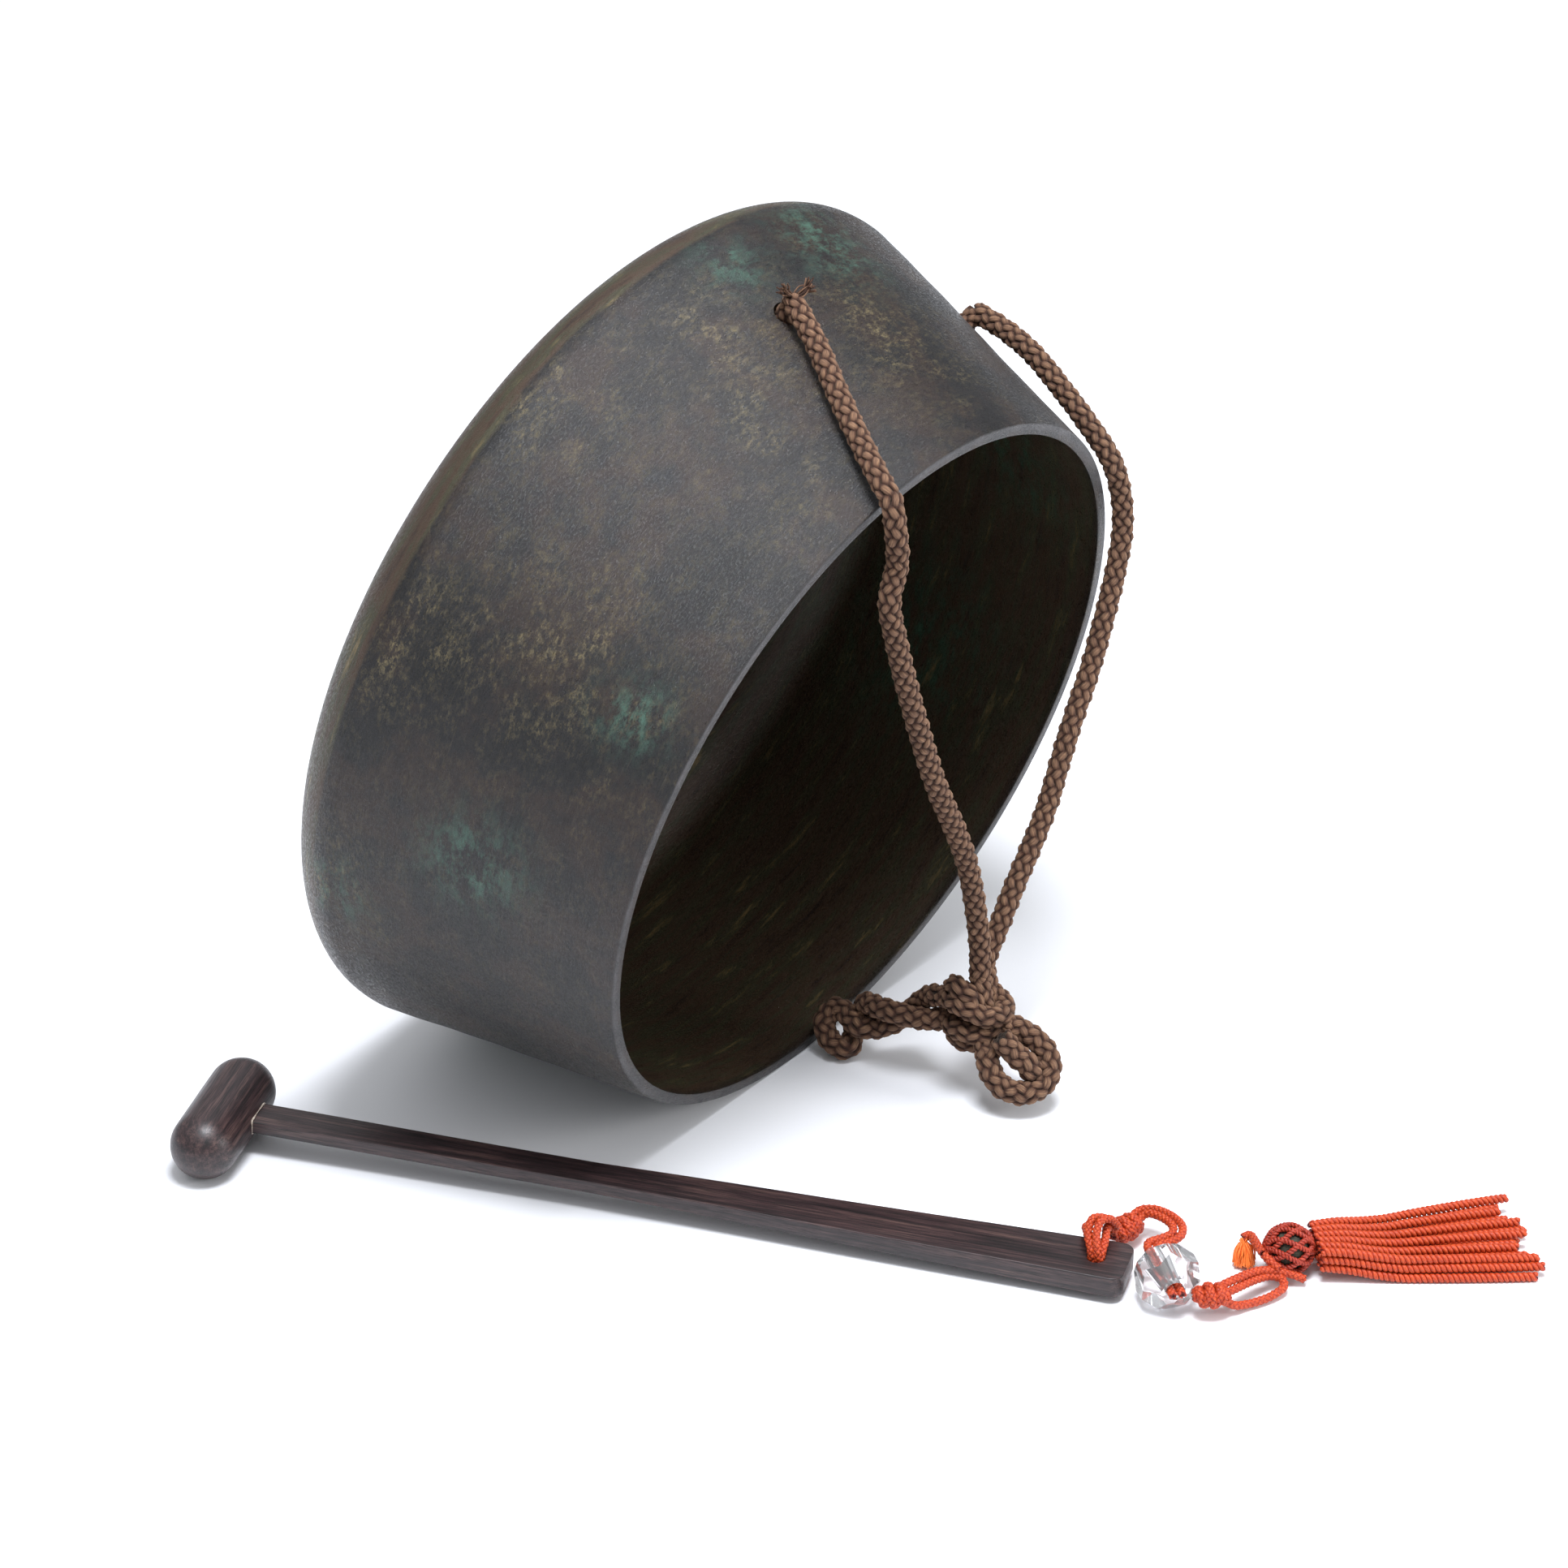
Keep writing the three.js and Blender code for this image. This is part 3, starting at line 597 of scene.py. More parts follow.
# ---------------------------------------------------------------- hanging cord routes
FRONT_STRAND = [
    (-4.0, -4.0, 278.6), (-10.3, -17.3, 271.0), (-19.6, -33.0, 261.4), (-27.9, -48.5, 251.6),
    (-33.0, -58.2, 246.2), (-35.0, -64.2, 241.2), (-35.2, -66.2, 232.0), (-32.8, -65.2, 219.0),
    (-34.6, -63.8, 207.0), (-30.0, -63.3, 190.0), (-22.3, -62.6, 169.0), (-14.5, -61.8, 150.0),
    (-4.1, -60.8, 127.0), (8.2, -59.7, 105.0), (16.7, -58.9, 87.0), (22.6, -58.2, 67.4),
    (25.4, -58.0, 52.0), (25.8, -58.0, 41.0),
]
REAR_STRAND = [
    (111.9, 8.6, 228.4), (110.6, -4.0, 226.0), (108.2, -17.0, 221.9), (107.4, -29.3, 213.0),
    (108.0, -39.0, 203.5), (111.4, -46.2, 191.3), (114.8, -48.2, 178.0), (114.8, -49.2, 165.0),
    (110.0, -49.8, 150.5), (102.6, -50.6, 136.2), (95.0, -51.4, 123.4), (83.8, -52.6, 109.5),
    (75.7, -53.4, 97.3), (67.6, -54.2, 84.8), (57.5, -54.8, 73.4), (48.0, -55.0, 62.8),
    (41.0, -55.0, 53.4), (35.8, -54.8, 46.6), (33.2, -54.4, 41.2),
]
LOOP = [
    (27.5, -67.8, 26.2), (30.2, -73.0, 23.8), (31.4, -79.0, 20.2), (30.0, -83.4, 15.6),
    (25.2, -84.6, 11.0), (19.2, -81.0, 8.8), (15.6, -74.6, 10.6), (16.2, -69.0, 15.4),
    (18.6, -66.4, 19.6),
]
INNER_LOOP = [
    (19.8, -71.0, 25.8), (21.0, -74.0, 22.0), (22.2, -77.0, 19.0), (23.2, -79.2, 17.4), (23.8, -81.2, 13.6),
]
KNOT_CENTRE = Vector((25, -58, 29))
TAIL_AXIS = [
    (22.4, -45.8, 27.0), (21.8, -37.6, 23.8), (19.4, -30.0, 20.6), (18.0, -23.4, 17.2),
    (17.4, -17.4, 15.6),
]
TAIL_BIGHT = [
    (17.8, -13.3, 7.4), (12.2, -14.8, 4.3), (10.6, -9.9, 5.4), (12.8, -4.6, 10.0), (17.6, -6.2, 14.2),
]
TAIL_TURNS = 0.6


def tail_route():
    """Two strands twisted round each other, joined by a bight that rests on the floor."""
    axis = catmull(TAIL_AXIS, 1)
    tangent, _, _ = carried_frames(axis)
    right = np.array([1.0, 0.0, 0.0])
    upright = np.cross(tangent, right)
    upright /= np.linalg.norm(upright, axis=1, keepdims=True)
    reach = (ROPE + 0.6) / 2
    picks = np.linspace(0, len(axis) - 1, 7).round().astype(int)

    def strand(side):
        out = []
        for i in picks:
            turn = side * math.pi / 2 + 2 * math.pi * TAIL_TURNS * i / (len(axis) - 1)
            out.append(axis[i] + reach * (right * math.cos(turn) + upright[i] * math.sin(turn)))
        return out

    return [*strand(1), *[np.array(p) for p in TAIL_BIGHT], *strand(-1)[::-1]]


def hole_axis(angle_degrees):
    """A hole's middle on the outer wall and its way out, in the bell's own frame, mm."""
    turn = math.radians(angle_degrees)
    slope = math.tan(CONE_ANGLE)
    radius = MOUTH_RADIUS + HOLE_SETBACK * slope
    spot = Vector((radius * math.sin(turn), HOLE_SETBACK, radius * math.cos(turn)))
    return spot, Vector((math.sin(turn), -slope, math.cos(turn))).normalized()


def wall_frame(angle_degrees):
    """A hole's middle on the outer wall and its way out, in mm from the contact."""
    spot, out = hole_axis(angle_degrees)
    tip = Matrix.Rotation(REST_ANGLE, 3, "X")
    rise = MOUTH_RADIUS * FACET_SHARE
    centre = Vector((0, -rise * math.sin(REST_ANGLE), rise * math.cos(REST_ANGLE)))
    return tip @ spot + centre, tip @ out


def rope_piece(name, routes, body, *nodes, diameter=ROPE, far_end=None, lay="loose"):
    """Runs of cotton braid as one piece. The far end is not used."""
    braid = Surface()
    for route in routes:
        line = plait(braid, route, diameter, ROPE_PITCH)
    piece = finish_piece(braid.object(name), COTTON, body, "rope", *nodes)


def silk_piece(name, routes, body, *nodes, far_end=None):
    """Runs of silk braid as one piece. The far end is not used."""
    braid = Surface()
    for route in routes:
        line = plait(braid, route, SILK_FULL, SILK_PITCH, SILK_PER_WAY, SILK_SIDES)
    piece = finish_piece(braid.object(name), SILK_CORD, body, "silk", *nodes)


def hanging_cord():
    for side, angle, route in (("front", FRONT_HOLE, FRONT_STRAND), ("rear", REAR_HOLE, REAR_STRAND)):
        rope_piece(f"braided_strand_{side}", [route], "hanging_cord", f"cord_strand_{side}",
                   far_end="knot", lay="hanging")
        spot, out = wall_frame(angle)
        through = [spot - out * 9, spot - out * 4, spot, spot + out * 2.4, Vector(route[0])]
        rope_piece(f"braid_through_hole_{side}", [through], "bell", f"cord_in_hole_{side}")
        middle = spot - out * (WALL + GAP + STOPPER_SETBACK)
        across = out.orthogonal().normalized()
        beside = out.cross(across)
        turns = np.linspace(0, 2 * math.pi * 0.95, 12)
        coils = [[middle + out * lift + (across * math.cos(t) + beside * math.sin(t)) * STOPPER_COIL
                  for t in turns] for lift in (-3.2, 0.4, 3.6)]
        rope_piece(f"stopper_knot_{side}", coils, "bell", f"cord_stopper_{side}", diameter=ROPE * 0.9)
    frayed_yarn()
    rope_piece("braided_loop", [LOOP], "hanging_cord", "cord_loop_outer",
               diameter=LOOP_ROPE, far_end="object")
    rope_piece("braided_loop_middle", [INNER_LOOP], "hanging_cord", "cord_loop_inner",
               diameter=LOOP_ROPE)
    rope_piece("braided_tail", [tail_route()], "hanging_cord", "cord_tail",
               diameter=TAIL_ROPE, far_end="object")


def frayed_yarn():
    """Two small tufts of broken yarn where the front strand leaves its hole."""
    yarn = Surface()
    root = Vector(FRONT_STRAND[0])
    for lean in (Vector((-4.2, 0.5, 5.4)), Vector((4.6, -3.2, 4.4))):
        for _ in range(26):
            tip = root + lean + Vector(rng.normal(0, 1.3, 3))
            belly = root + lean * 0.55 + Vector(rng.normal(0, 0.7, 3))
            start = root + Vector(rng.normal(0, 1.1, 3))
            yarn.tube(catmull([start, belly, tip], 1), 0.5, 0.5, sides=5, shade=rng.uniform(0.8, 1),
                      offset=rng.uniform(0, 90))
    finish_piece(yarn.object("frayed_yarn_front"), COTTON, "bell", "rope")


KNOT_FRONT = Vector((-0.798, -0.603, 0))
KNOT_RIGHT = Vector((0.603, -0.798, 0))


def knot_spot(right, up, near):
    """A place on the hanging cord's knot: right, up and towards its open side, mm."""
    return KNOT_CENTRE + KNOT_RIGHT * right + Vector((0, 0, up)) + KNOT_FRONT * near


def hanging_knot():
    """The cord's own turns round both strands, and the short runs that lead in and out."""
    wraps = [
        [(-7.5, 2, -5), (-8.5, 4.5, 1), (-4, 4.5, 6.2), (2, 2.2, 7.6), (7.2, 1, 4.6),
         (8.6, 1.4, -1.5), (5, 3, -6.5)],
        [(-7, -6.5, -4), (-8, -5, 2), (-4, -4.6, 6), (1.5, -4.6, 7), (6.5, -3.6, 4.4),
         (8.4, -1.4, -1), (4.5, 0, -6.5)],
        [(-8, 8, -3), (-6.2, 9.4, 1.8), (-2.4, 7.4, 4.2), (0, 2, 4)],
        [(0.5, 12.6, -0.6), (1.0, 8, 1.2), (2, 2, 2), (2, -5, 1)],
        [(2.1, 12.6, -8.7), (3, 7, -6), (3, 1, -3), (3, -5, -2)],
        [(-7, -8, -2), (-6.2, -9.6, 1.6), (-2, -10, 3.4), (3, -8, 3.4), (4, -4, 0)],
    ]
    routes = [[knot_spot(*place) for place in wrap] for wrap in wraps]
    # Where the knot lets go of the tail's two strands and of the loop.
    routes += [
        [(24, -56, 30), (22.9, -50, 31.4), (22.3, -44.6, 30.8)],
        [(24, -56, 26), (22.9, -50, 23.6), (22.3, -44.6, 22.6)],
        [(25, -60, 28), (26.6, -65, 27.2), (27.8, -68.6, 25.9)],
        [(22, -60, 24), (19.6, -64.6, 20.8), (18.4, -67, 18.8)],
    ]
    rope_piece("braided_knot", routes, "hanging_cord", "cord_knot")


# ---------------------------------------------------------------- bell
def shoulder(corner_radius, corner_depth, radius, steps):
    """The rounded corner from wall to face, as (radius, depth)."""
    reach = radius / math.tan((math.pi / 2 - CONE_ANGLE) / 2)
    out = []
    for i in range(steps + 1):
        turn = -CONE_ANGLE + (math.pi / 2 + CONE_ANGLE) * i / steps
        out.append((corner_radius - reach + radius * math.cos(turn),
                    corner_depth - radius + radius * math.sin(turn)))
    # Hand-filed rather than struck from a gauge: a little flatter than a true arc, so that a
    # crease shows where it meets the wall.
    out = np.array(out)
    share = np.linspace(0, 1, steps + 1)[:, None]
    chord = out[0] + (out[-1] - out[0]) * share
    return (out + (chord - out) * SHOULDER_FLATNESS).tolist()


def line_between(a, b, steps):
    """Evenly spaced places from a towards b, without b."""
    share = np.arange(steps)[:, None] / steps
    return (np.array(a) + (np.array(b) - np.array(a)) * share).tolist()


def turned(profile, sides):
    """A lathe body: the profile's (radius, depth) turned round Y. The ends lie on the axis."""
    profile = np.array(profile, float)
    turn = np.arange(sides) * 2 * math.pi / sides
    rings = profile[1:-1]
    verts = np.stack([
        rings[:, 0, None] * np.sin(turn), np.repeat(rings[:, 1, None], sides, 1),
        rings[:, 0, None] * np.cos(turn)], axis=2).reshape(-1, 3)
    verts = np.vstack([verts, [[0, profile[0, 1], 0], [0, profile[-1, 1], 0]]])
    faces = []
    for i in range(len(rings) - 1):
        for j in range(sides):
            k = (j + 1) % sides
            faces.append((i * sides + j, (i + 1) * sides + j, (i + 1) * sides + k, i * sides + k))
    first, last = len(verts) - 2, len(verts) - 1
    low = (len(rings) - 1) * sides
    for j in range(sides):
        k = (j + 1) % sides
        faces.append((first, j, k))
        faces.append((last, low + k, low + j))
    return verts, faces


def apply_modifiers(piece):
    """Makes the modified mesh the piece's own."""
    made = bpy.data.meshes.new_from_object(
        piece.evaluated_get(bpy.context.evaluated_depsgraph_get()))
    piece.modifiers.clear()
    piece.data = made


def drill(piece, start, end, diameter, sides=48):
    """Cuts a round hole through a piece, from start to end in its own frame, in metres."""
    cutter_mesh = bpy.data.meshes.new("drill")
    shape = bmesh.new()
    bmesh.ops.create_cone(shape, cap_ends=True, segments=sides, radius1=diameter * MM / 2,
                          radius2=diameter * MM / 2, depth=(end - start).length)
    shape.to_mesh(cutter_mesh)
    shape.free()
    cutter = bpy.data.objects.new("drill", cutter_mesh)
    bpy.context.scene.collection.objects.link(cutter)
    way = (end - start).to_track_quat("Z", "Y").to_matrix().to_4x4()
    cutter.matrix_world = piece.matrix_world @ Matrix.Translation((start + end) / 2) @ way
    bpy.context.view_layer.update()
    cut = piece.modifiers.new("hole", "BOOLEAN")
    cut.object = cutter
    cut.solver = "EXACT"
    apply_modifiers(piece)
    bpy.data.objects.remove(cutter)


def bell():
    inner_mouth = MOUTH_RADIUS - WALL / math.cos(CONE_ANGLE)
    inner_depth = BELL_DEPTH - FACE
    inner_corner = inner_mouth + inner_depth * math.tan(CONE_ANGLE)
    slope = math.tan(CONE_ANGLE)
    outer_foot = shoulder(FACE_CORNER_RADIUS, BELL_DEPTH, SHOULDER_RADIUS, 20)
    inner_foot = shoulder(inner_corner, inner_depth, SHOULDER_RADIUS - WALL, 14)

    def on_wall(depth, sunk=0.0):
        return (MOUTH_RADIUS + depth * slope - sunk, depth)

    profile = [
        (0, BELL_DEPTH), *line_between((FACE_MIDDLE, BELL_DEPTH), outer_foot[-1], 16),
        *outer_foot[::-1],
        *line_between(outer_foot[0], on_wall(1.4), 36)[1:], on_wall(0.7),
        on_wall(0.35, 0.05), on_wall(0.1, 0.2), on_wall(0, 0.5),
        *line_between((MOUTH_RADIUS - 0.9, 0), (inner_mouth + 0.8, 0), 4),
        (inner_mouth + 0.4, 0), (inner_mouth + 0.1, 0.15), (inner_mouth + 0.05, 0.5),
        *line_between((inner_mouth + slope, 1.2), inner_foot[0], 30), *inner_foot,
        *line_between(inner_foot[-1], (FACE_MIDDLE, inner_depth), 14)[1:], (0, inner_depth),
    ]
    profile = [(r * FACET_SHARE, y) for r, y in profile]
    verts, faces = turned(profile, BELL_SIDES)
    # Cast and hand-turned: the wall wanders by a few tenths of a millimetre.
    turn = np.arctan2(verts[:, 0], verts[:, 2])
    depth = verts[:, 1]
    free = np.clip((depth - 8) / 20, 0, 1) * np.clip(np.hypot(verts[:, 0], verts[:, 2]) / 60, 0, 1)
    wander = (0.16 * np.sin(3 * turn + 0.05 * depth) + 0.1 * np.sin(7 * turn - 0.11 * depth + 1)
              + 0.07 * np.sin(0.33 * depth + 2 * turn))
    ease = 1 - (wander + MOST_WANDER) * free / WANDER_RADIUS
    verts[:, 0] *= ease
    verts[:, 2] *= ease
    piece = new_object("bell_body", verts * MM, faces)
    rise = MOUTH_RADIUS * FACET_SHARE
    piece.matrix_world = Matrix.Translation(
        at(0, -rise * math.sin(REST_ANGLE), rise * math.cos(REST_ANGLE))
    ) @ Matrix.Rotation(REST_ANGLE, 4, "X")
    for angle in (FRONT_HOLE, REAR_HOLE):
        spot, out = hole_axis(angle)
        out = out * 3 * WALL * MM
        drill(piece, spot * MM - out, spot * MM + out, HOLE_DIAMETER)
    mark_bell(piece, slope)
    return finish_piece(piece, BRONZE, "bell", "bronze", "bell_shell")


def mark_bell(piece, slope):
    """Writes the ground lip (its inner half left dark as painted shade), the inside and the stained
    patches as markings, and each point's place in mm, as turned and as wrapped round the wall."""
    mesh = piece.data
    co = places_of(mesh)
    depth = co[:, 1]
    radius = np.hypot(co[:, 0], co[:, 2])
    middle = (MOUTH_RADIUS + depth * slope - WALL / 2) * FACET_SHARE
    inside = ((radius < middle) & (depth < BELL_DEPTH - FACE / 2)).astype(float)
    # Only the outer half of the lip is ground bright; the inner half keeps the dark skin as painted shade,
    # standing in for a rounded inner edge turned into the bell.
    lip = (depth < 0.3) * np.clip((radius - (MOUTH_RADIUS - 2.6) * FACET_SHARE) / 0.9, 0.1, 1)
    inside *= np.clip(depth / 3, 0, 1)
    turn = np.arctan2(co[:, 0], co[:, 2])

    def patches(spots):
        """How strongly each point lies in soft patches at (degrees round, depth, size)."""
        total = np.zeros(len(co))
        for degrees, patch_depth, size in spots:
            off = (turn - math.radians(degrees) + math.pi) % (2 * math.pi) - math.pi
            total += np.exp(-((off * radius) ** 2 + (depth - patch_depth) ** 2) / size ** 2)
        return np.clip(total, 0, 1)

    # Held per face corner, so that the faces which cross half a turn don't squeeze the pattern.
    corner = np.zeros(len(mesh.loops), dtype=np.int32)
    mesh.loops.foreach_get("vertex_index", corner)
    sides = np.zeros(len(mesh.polygons), dtype=np.int32)
    mesh.polygons.foreach_get("loop_total", sides)
    first = np.repeat(np.cumsum(sides) - sides, sides)
    round_at = turn[corner]
    round_at += 2 * math.pi * np.round((round_at[first] - round_at) / (2 * math.pi))
    wrapped = np.stack([round_at * radius[corner], depth[corner], radius[corner]], axis=1)
    hold(mesh, "wrap", wrapped, "CORNER")
    hold(mesh, "inside", inside)
    hold(mesh, "lip", lip)
    hold(mesh, "verdigris", patches(VERDIGRIS_PATCHES))
    hold(mesh, "ochre", 0.2 + 0.7 * patches(OCHRE_PATCHES))
    hold(mesh, "rest", co)
    smooth_but_sharp(mesh, 50)


# ---------------------------------------------------------------- mallet
UNDER_END = SILK + GAP
HANDLE_DROP = HEAD_DIAMETER / 2 - UNDER_END
TILT = (math.asin(HANDLE_DROP / math.hypot(HANDLE_REACH, END_THICKNESS / 2))
        - math.atan(END_THICKNESS / 2 / HANDLE_REACH))
MALLET = (Matrix.Translation(at(-148.5, 115.5, HEAD_DIAMETER / 2))
          @ Matrix.Rotation(math.radians(-69.1), 4, "Z") @ Matrix.Rotation(TILT, 4, "Y"))
HOLE_X = HANDLE_REACH - CORD_HOLE_INSET


def mallet_spot(x, y, z):
    """A place in the mallet's frame, as millimetres from the contact."""
    return (MALLET @ (Vector((x, y, z)) * MM) - contact) / MM


def mallet_head():
    straight = (HEAD_LENGTH - HEAD_DIAMETER) / 2
    r = HEAD_DIAMETER / 2
    arc = [(r * math.cos(t), straight + r * math.sin(t)) for t in np.linspace(math.pi / 2, 0, 16)]
    profile = arc + line_between(arc[-1], (r, -straight), 14)[1:] + [(a, -b) for a, b in arc[::-1]]
    profile[0] = (0, straight + r)
    profile[-1] = (0, -straight - r)
    verts, faces = turned(profile, 64)
    turn = np.arctan2(verts[:, 0], verts[:, 2])
    lumps = 1 - 0.004 * (1 + np.sin(2 * turn + 0.12 * verts[:, 1])
                         + 0.6 * np.sin(5 * turn - 0.2 * verts[:, 1]))
    verts[:, 0] *= lumps
    verts[:, 2] *= lumps
    rest = np.stack([verts[:, 1], verts[:, 0], verts[:, 2]], 1)
    verts[:, 1] -= HEAD_OFFSET
    piece = new_object("mallet_head_turned", verts * MM, faces, rest)
    piece.matrix_world = MALLET
    finish_piece(piece, ROSEWOOD, "mallet", "rosewood", "mallet_head")


def handle_size(x):
    """The handle's width and thickness at a distance from the head's axis."""
    share = min(1, max(0, (x - TAPER_START) / (HANDLE_REACH - TAPER_START)))
    width = NECK_WIDTH + (END_WIDTH - NECK_WIDTH) * share
    thick = NECK_THICKNESS + (END_THICKNESS - NECK_THICKNESS) * share
    into = x - (HANDLE_REACH - END_CORNER)
    if into > 0:
        bend = into / END_CORNER
        width -= 2 * END_CORNER * (1 - math.sqrt(max(0, 1 - bend * bend)))
    return width, thick


def rounded_bar(width, thick, edge):
    """A rectangle with rounded corners, as places across and up."""
    out = []
    for sx, sz, first in ((1, 1, 0), (-1, 1, 90), (-1, -1, 180), (1, -1, 270)):
        for k in range(4):
            turn = math.radians(first + 30 * k)
            out.append((sx * (width / 2 - edge) + edge * math.cos(turn),
                        sz * (thick / 2 - edge) + edge * math.sin(turn)))
    return out


def mallet_handle():
    edge = 0.35
    straight_end = HANDLE_REACH - END_CORNER
    stations = [1.5, *np.linspace(8, TAPER_START, 12), *np.linspace(TAPER_START + 10, straight_end, 16)]
    stations += [HANDLE_REACH - END_CORNER * (1 - math.sin(t)) for t in np.linspace(0.15, 1.32, 9)]
    verts = []
    for x in stations:
        width, thick = handle_size(x)
        wave = 0.12 * math.sin(0.05 * x)
        verts += [(x, y + wave, z) for y, z in rounded_bar(width, thick, edge)]
    width, thick = handle_size(stations[-1])
    for inset, x in ((edge * 0.4, HANDLE_REACH - 0.12), (edge, HANDLE_REACH)):
        verts += [(x, y, z) for y, z in rounded_bar(width - 2 * inset, thick - 2 * inset, edge * 0.6)]
    corners = len(rounded_bar(width, thick, edge))
    rings = len(verts) // corners
    faces = []
    for i in range(rings - 1):
        for j in range(corners):
            k = (j + 1) % corners
            here, there = i * corners, (i + 1) * corners
            faces.append((here + j, here + k, there + k, there + j))
    faces.append(tuple(range(corners))[::-1])
    faces.append(tuple(range((rings - 1) * corners, rings * corners)))
    piece = new_object("mallet_handle_shaped", np.array(verts) * MM, faces)
    piece.matrix_world = MALLET
    bpy.context.view_layer.update()
    drill(piece, Vector((HOLE_X, 0, -9)) * MM, Vector((HOLE_X, 0, 9)) * MM, CORD_HOLE)
    hold(piece.data, "rest", places_of(piece.data))
    smooth_but_sharp(piece.data, 32)
    finish_piece(piece, ROSEWOOD, "mallet", "rosewood", "mallet_handle")


def glue_line():
    """A thin uneven bead of glue where the handle enters the head."""
    bead = Surface()
    width, thick = handle_size(HEAD_DIAMETER / 2)
    outline = rounded_bar(width + 0.5, thick + 0.5, 0.8)
    outline.append(outline[0])
    r = HEAD_DIAMETER / 2
    line = [mallet_spot(math.sqrt(r * r - z * z) - 0.05, y, z) for y, z in outline]
    line = catmull(line, 0.4)
    size = 0.55 + 0.25 * np.sin(np.linspace(0, 23, len(line)))
    bead.tube(line, size, size, sides=6)
    finish_piece(bead.object("glue_line"), GLUE, "mallet", "rosewood")


# ---------------------------------------------------------------- wrist cord and bead
SIDE = SILK / 2 + GAP
TOP = END_THICKNESS / 2


def hitches():
    """The wrist cord's start on the handle, through its hole and over its edge."""
    routes = {
        "left": [(HOLE_X - SIDE, 0, -TOP + 0.5), (HOLE_X - SIDE, 0, TOP), (HOLE_X - 2.2, 1.6, TOP + 2.1),
                 (HOLE_X - 4.2, 6, TOP + 3.2), (HOLE_X - 6, 11, TOP + 3), (HOLE_X - 6.2, 13.6, TOP - 0.4),
                 (HOLE_X - 3.6, 14.6, TOP - 4.2), (HOLE_X - 0.6, 16.4, TOP - 5.4)],
        "right": [(HOLE_X + SIDE, 0, -TOP + 0.5), (HOLE_X + SIDE, 0, TOP), (HOLE_X + 1.6, 1.6, TOP + 2.1),
                  (HOLE_X + 1.4, 6, TOP + 3.4), (HOLE_X + 0.6, 11, TOP + 3.8),
                  (HOLE_X + 0.8, 14.2, TOP + 2.2), (HOLE_X + 2.2, 15.8, TOP - 0.6)],
        "under": [(HOLE_X + 0.4, 0, -TOP - SIDE + 0.1), (HOLE_X + 0.8, 6, -TOP - SIDE),
                  (HOLE_X + 2, 12.5, -TOP - SIDE)],
    }
    arches = [
        [(HOLE_X - 0.9, -0.4, TOP - 2), (HOLE_X - 1.6, 0, TOP + 2), (HOLE_X - 3.6, 3.4, TOP + 6),
         (HOLE_X - 3.4, 8, TOP + 8.4), (HOLE_X - 0.4, 12.4, TOP + 6.4), (HOLE_X + 1.6, 15.6, TOP + 2)],
        [(HOLE_X + 0.8, -0.6, TOP - 2), (HOLE_X + 0.4, -0.4, TOP + 2.4), (HOLE_X - 0.8, 2.4, TOP + 6.4),
         (HOLE_X - 0.6, 6.4, TOP + 9), (HOLE_X + 1.4, 11, TOP + 7.4), (HOLE_X + 3.2, 15.2, TOP + 2.4)],
    ]
    silk_piece("silk_hitch_arch", [[mallet_spot(*p) for p in route] for route in arches], "mallet")
    for name, route in routes.items():
        silk_piece(f"silk_hitch_{name}", [[mallet_spot(*p) for p in route]], "mallet",
                   f"wrist_hitch_{name}")


BEAD_CENTRE = Vector((-41.1, -176.9, BEAD / 2))
BORE = Vector((-0.62, -0.785, 0)).normalized()


def bore_spot(distance):
    return BEAD_CENTRE + BORE * distance


WRIST = [
    (-18.6, -149.4, 7.4), (-14.4, -149.8, 8.2), (-13.4, -152.6, 9.2), (-13.6, -156.4, 9.8),
    (-14.6, -160.6, 10.1), (-16.8, -164.6, 10.2), (-20.8, -166.8, 10.2),
    (-25.2, -165.8, 10.1), (-29.4, -163.8, 9.95),
    bore_spot(-BEAD * 0.6), bore_spot(0), bore_spot(BEAD / 2 + 0.8),
]


def beside(route, offset):
    """The route moved sideways, level with the floor."""
    route = [Vector(p) for p in route]
    out = []
    for i, p in enumerate(route):
        heading = route[min(len(route) - 1, i + 1)] - route[max(0, i - 1)]
        heading.z = 0
        heading.normalize()
        out.append(Vector((p.x - heading.y * offset, p.y + heading.x * offset, p.z)))
    return out


LOWER_LOOP = [
    (-36.4, -193.8, 7.6), (-32.4, -195.0, 7.2), (-26.6, -195.9, 6.6), (-20.2, -197.1, 5.8),
    (-15.6, -198.6, 4.9), (-13.6, -201.4, 3.9), (-15.6, -203.6, 3.0),
    (-20.2, -203.0, 2.3), (-25.7, -200.9, 2.0),
    (-29.8, -198.8, 2.2), (-33.4, -197.4, 3.2), (-36.4, -195.2, 5.4),
]
LOOP_SECOND = [
    (-37.2, -191.8, 8.8), (-33.4, -192.8, 9.2), (-27.4, -194.2, 8.9), (-21.0, -195.6, 8.2),
    (-16.2, -197.6, 7.0), (-12.4, -200.4, 5.4), (-9.6, -203.4, 4.0), (-7.6, -206.0, 2.4),
]
NECK = [(-13.6, -200.0, 7.3), (-14.1, -197.4, 8.9), (-13.4, -194.6, 9.9)]
CUT_END = [
    (-12.9, -193.6, 10.0), (-10.6, -190.6, 10.0), (-8.0, -187.2, 10.0), (-6.6, -184.8, 9.8),
    (-8.4, -183.6, 9.4),
]


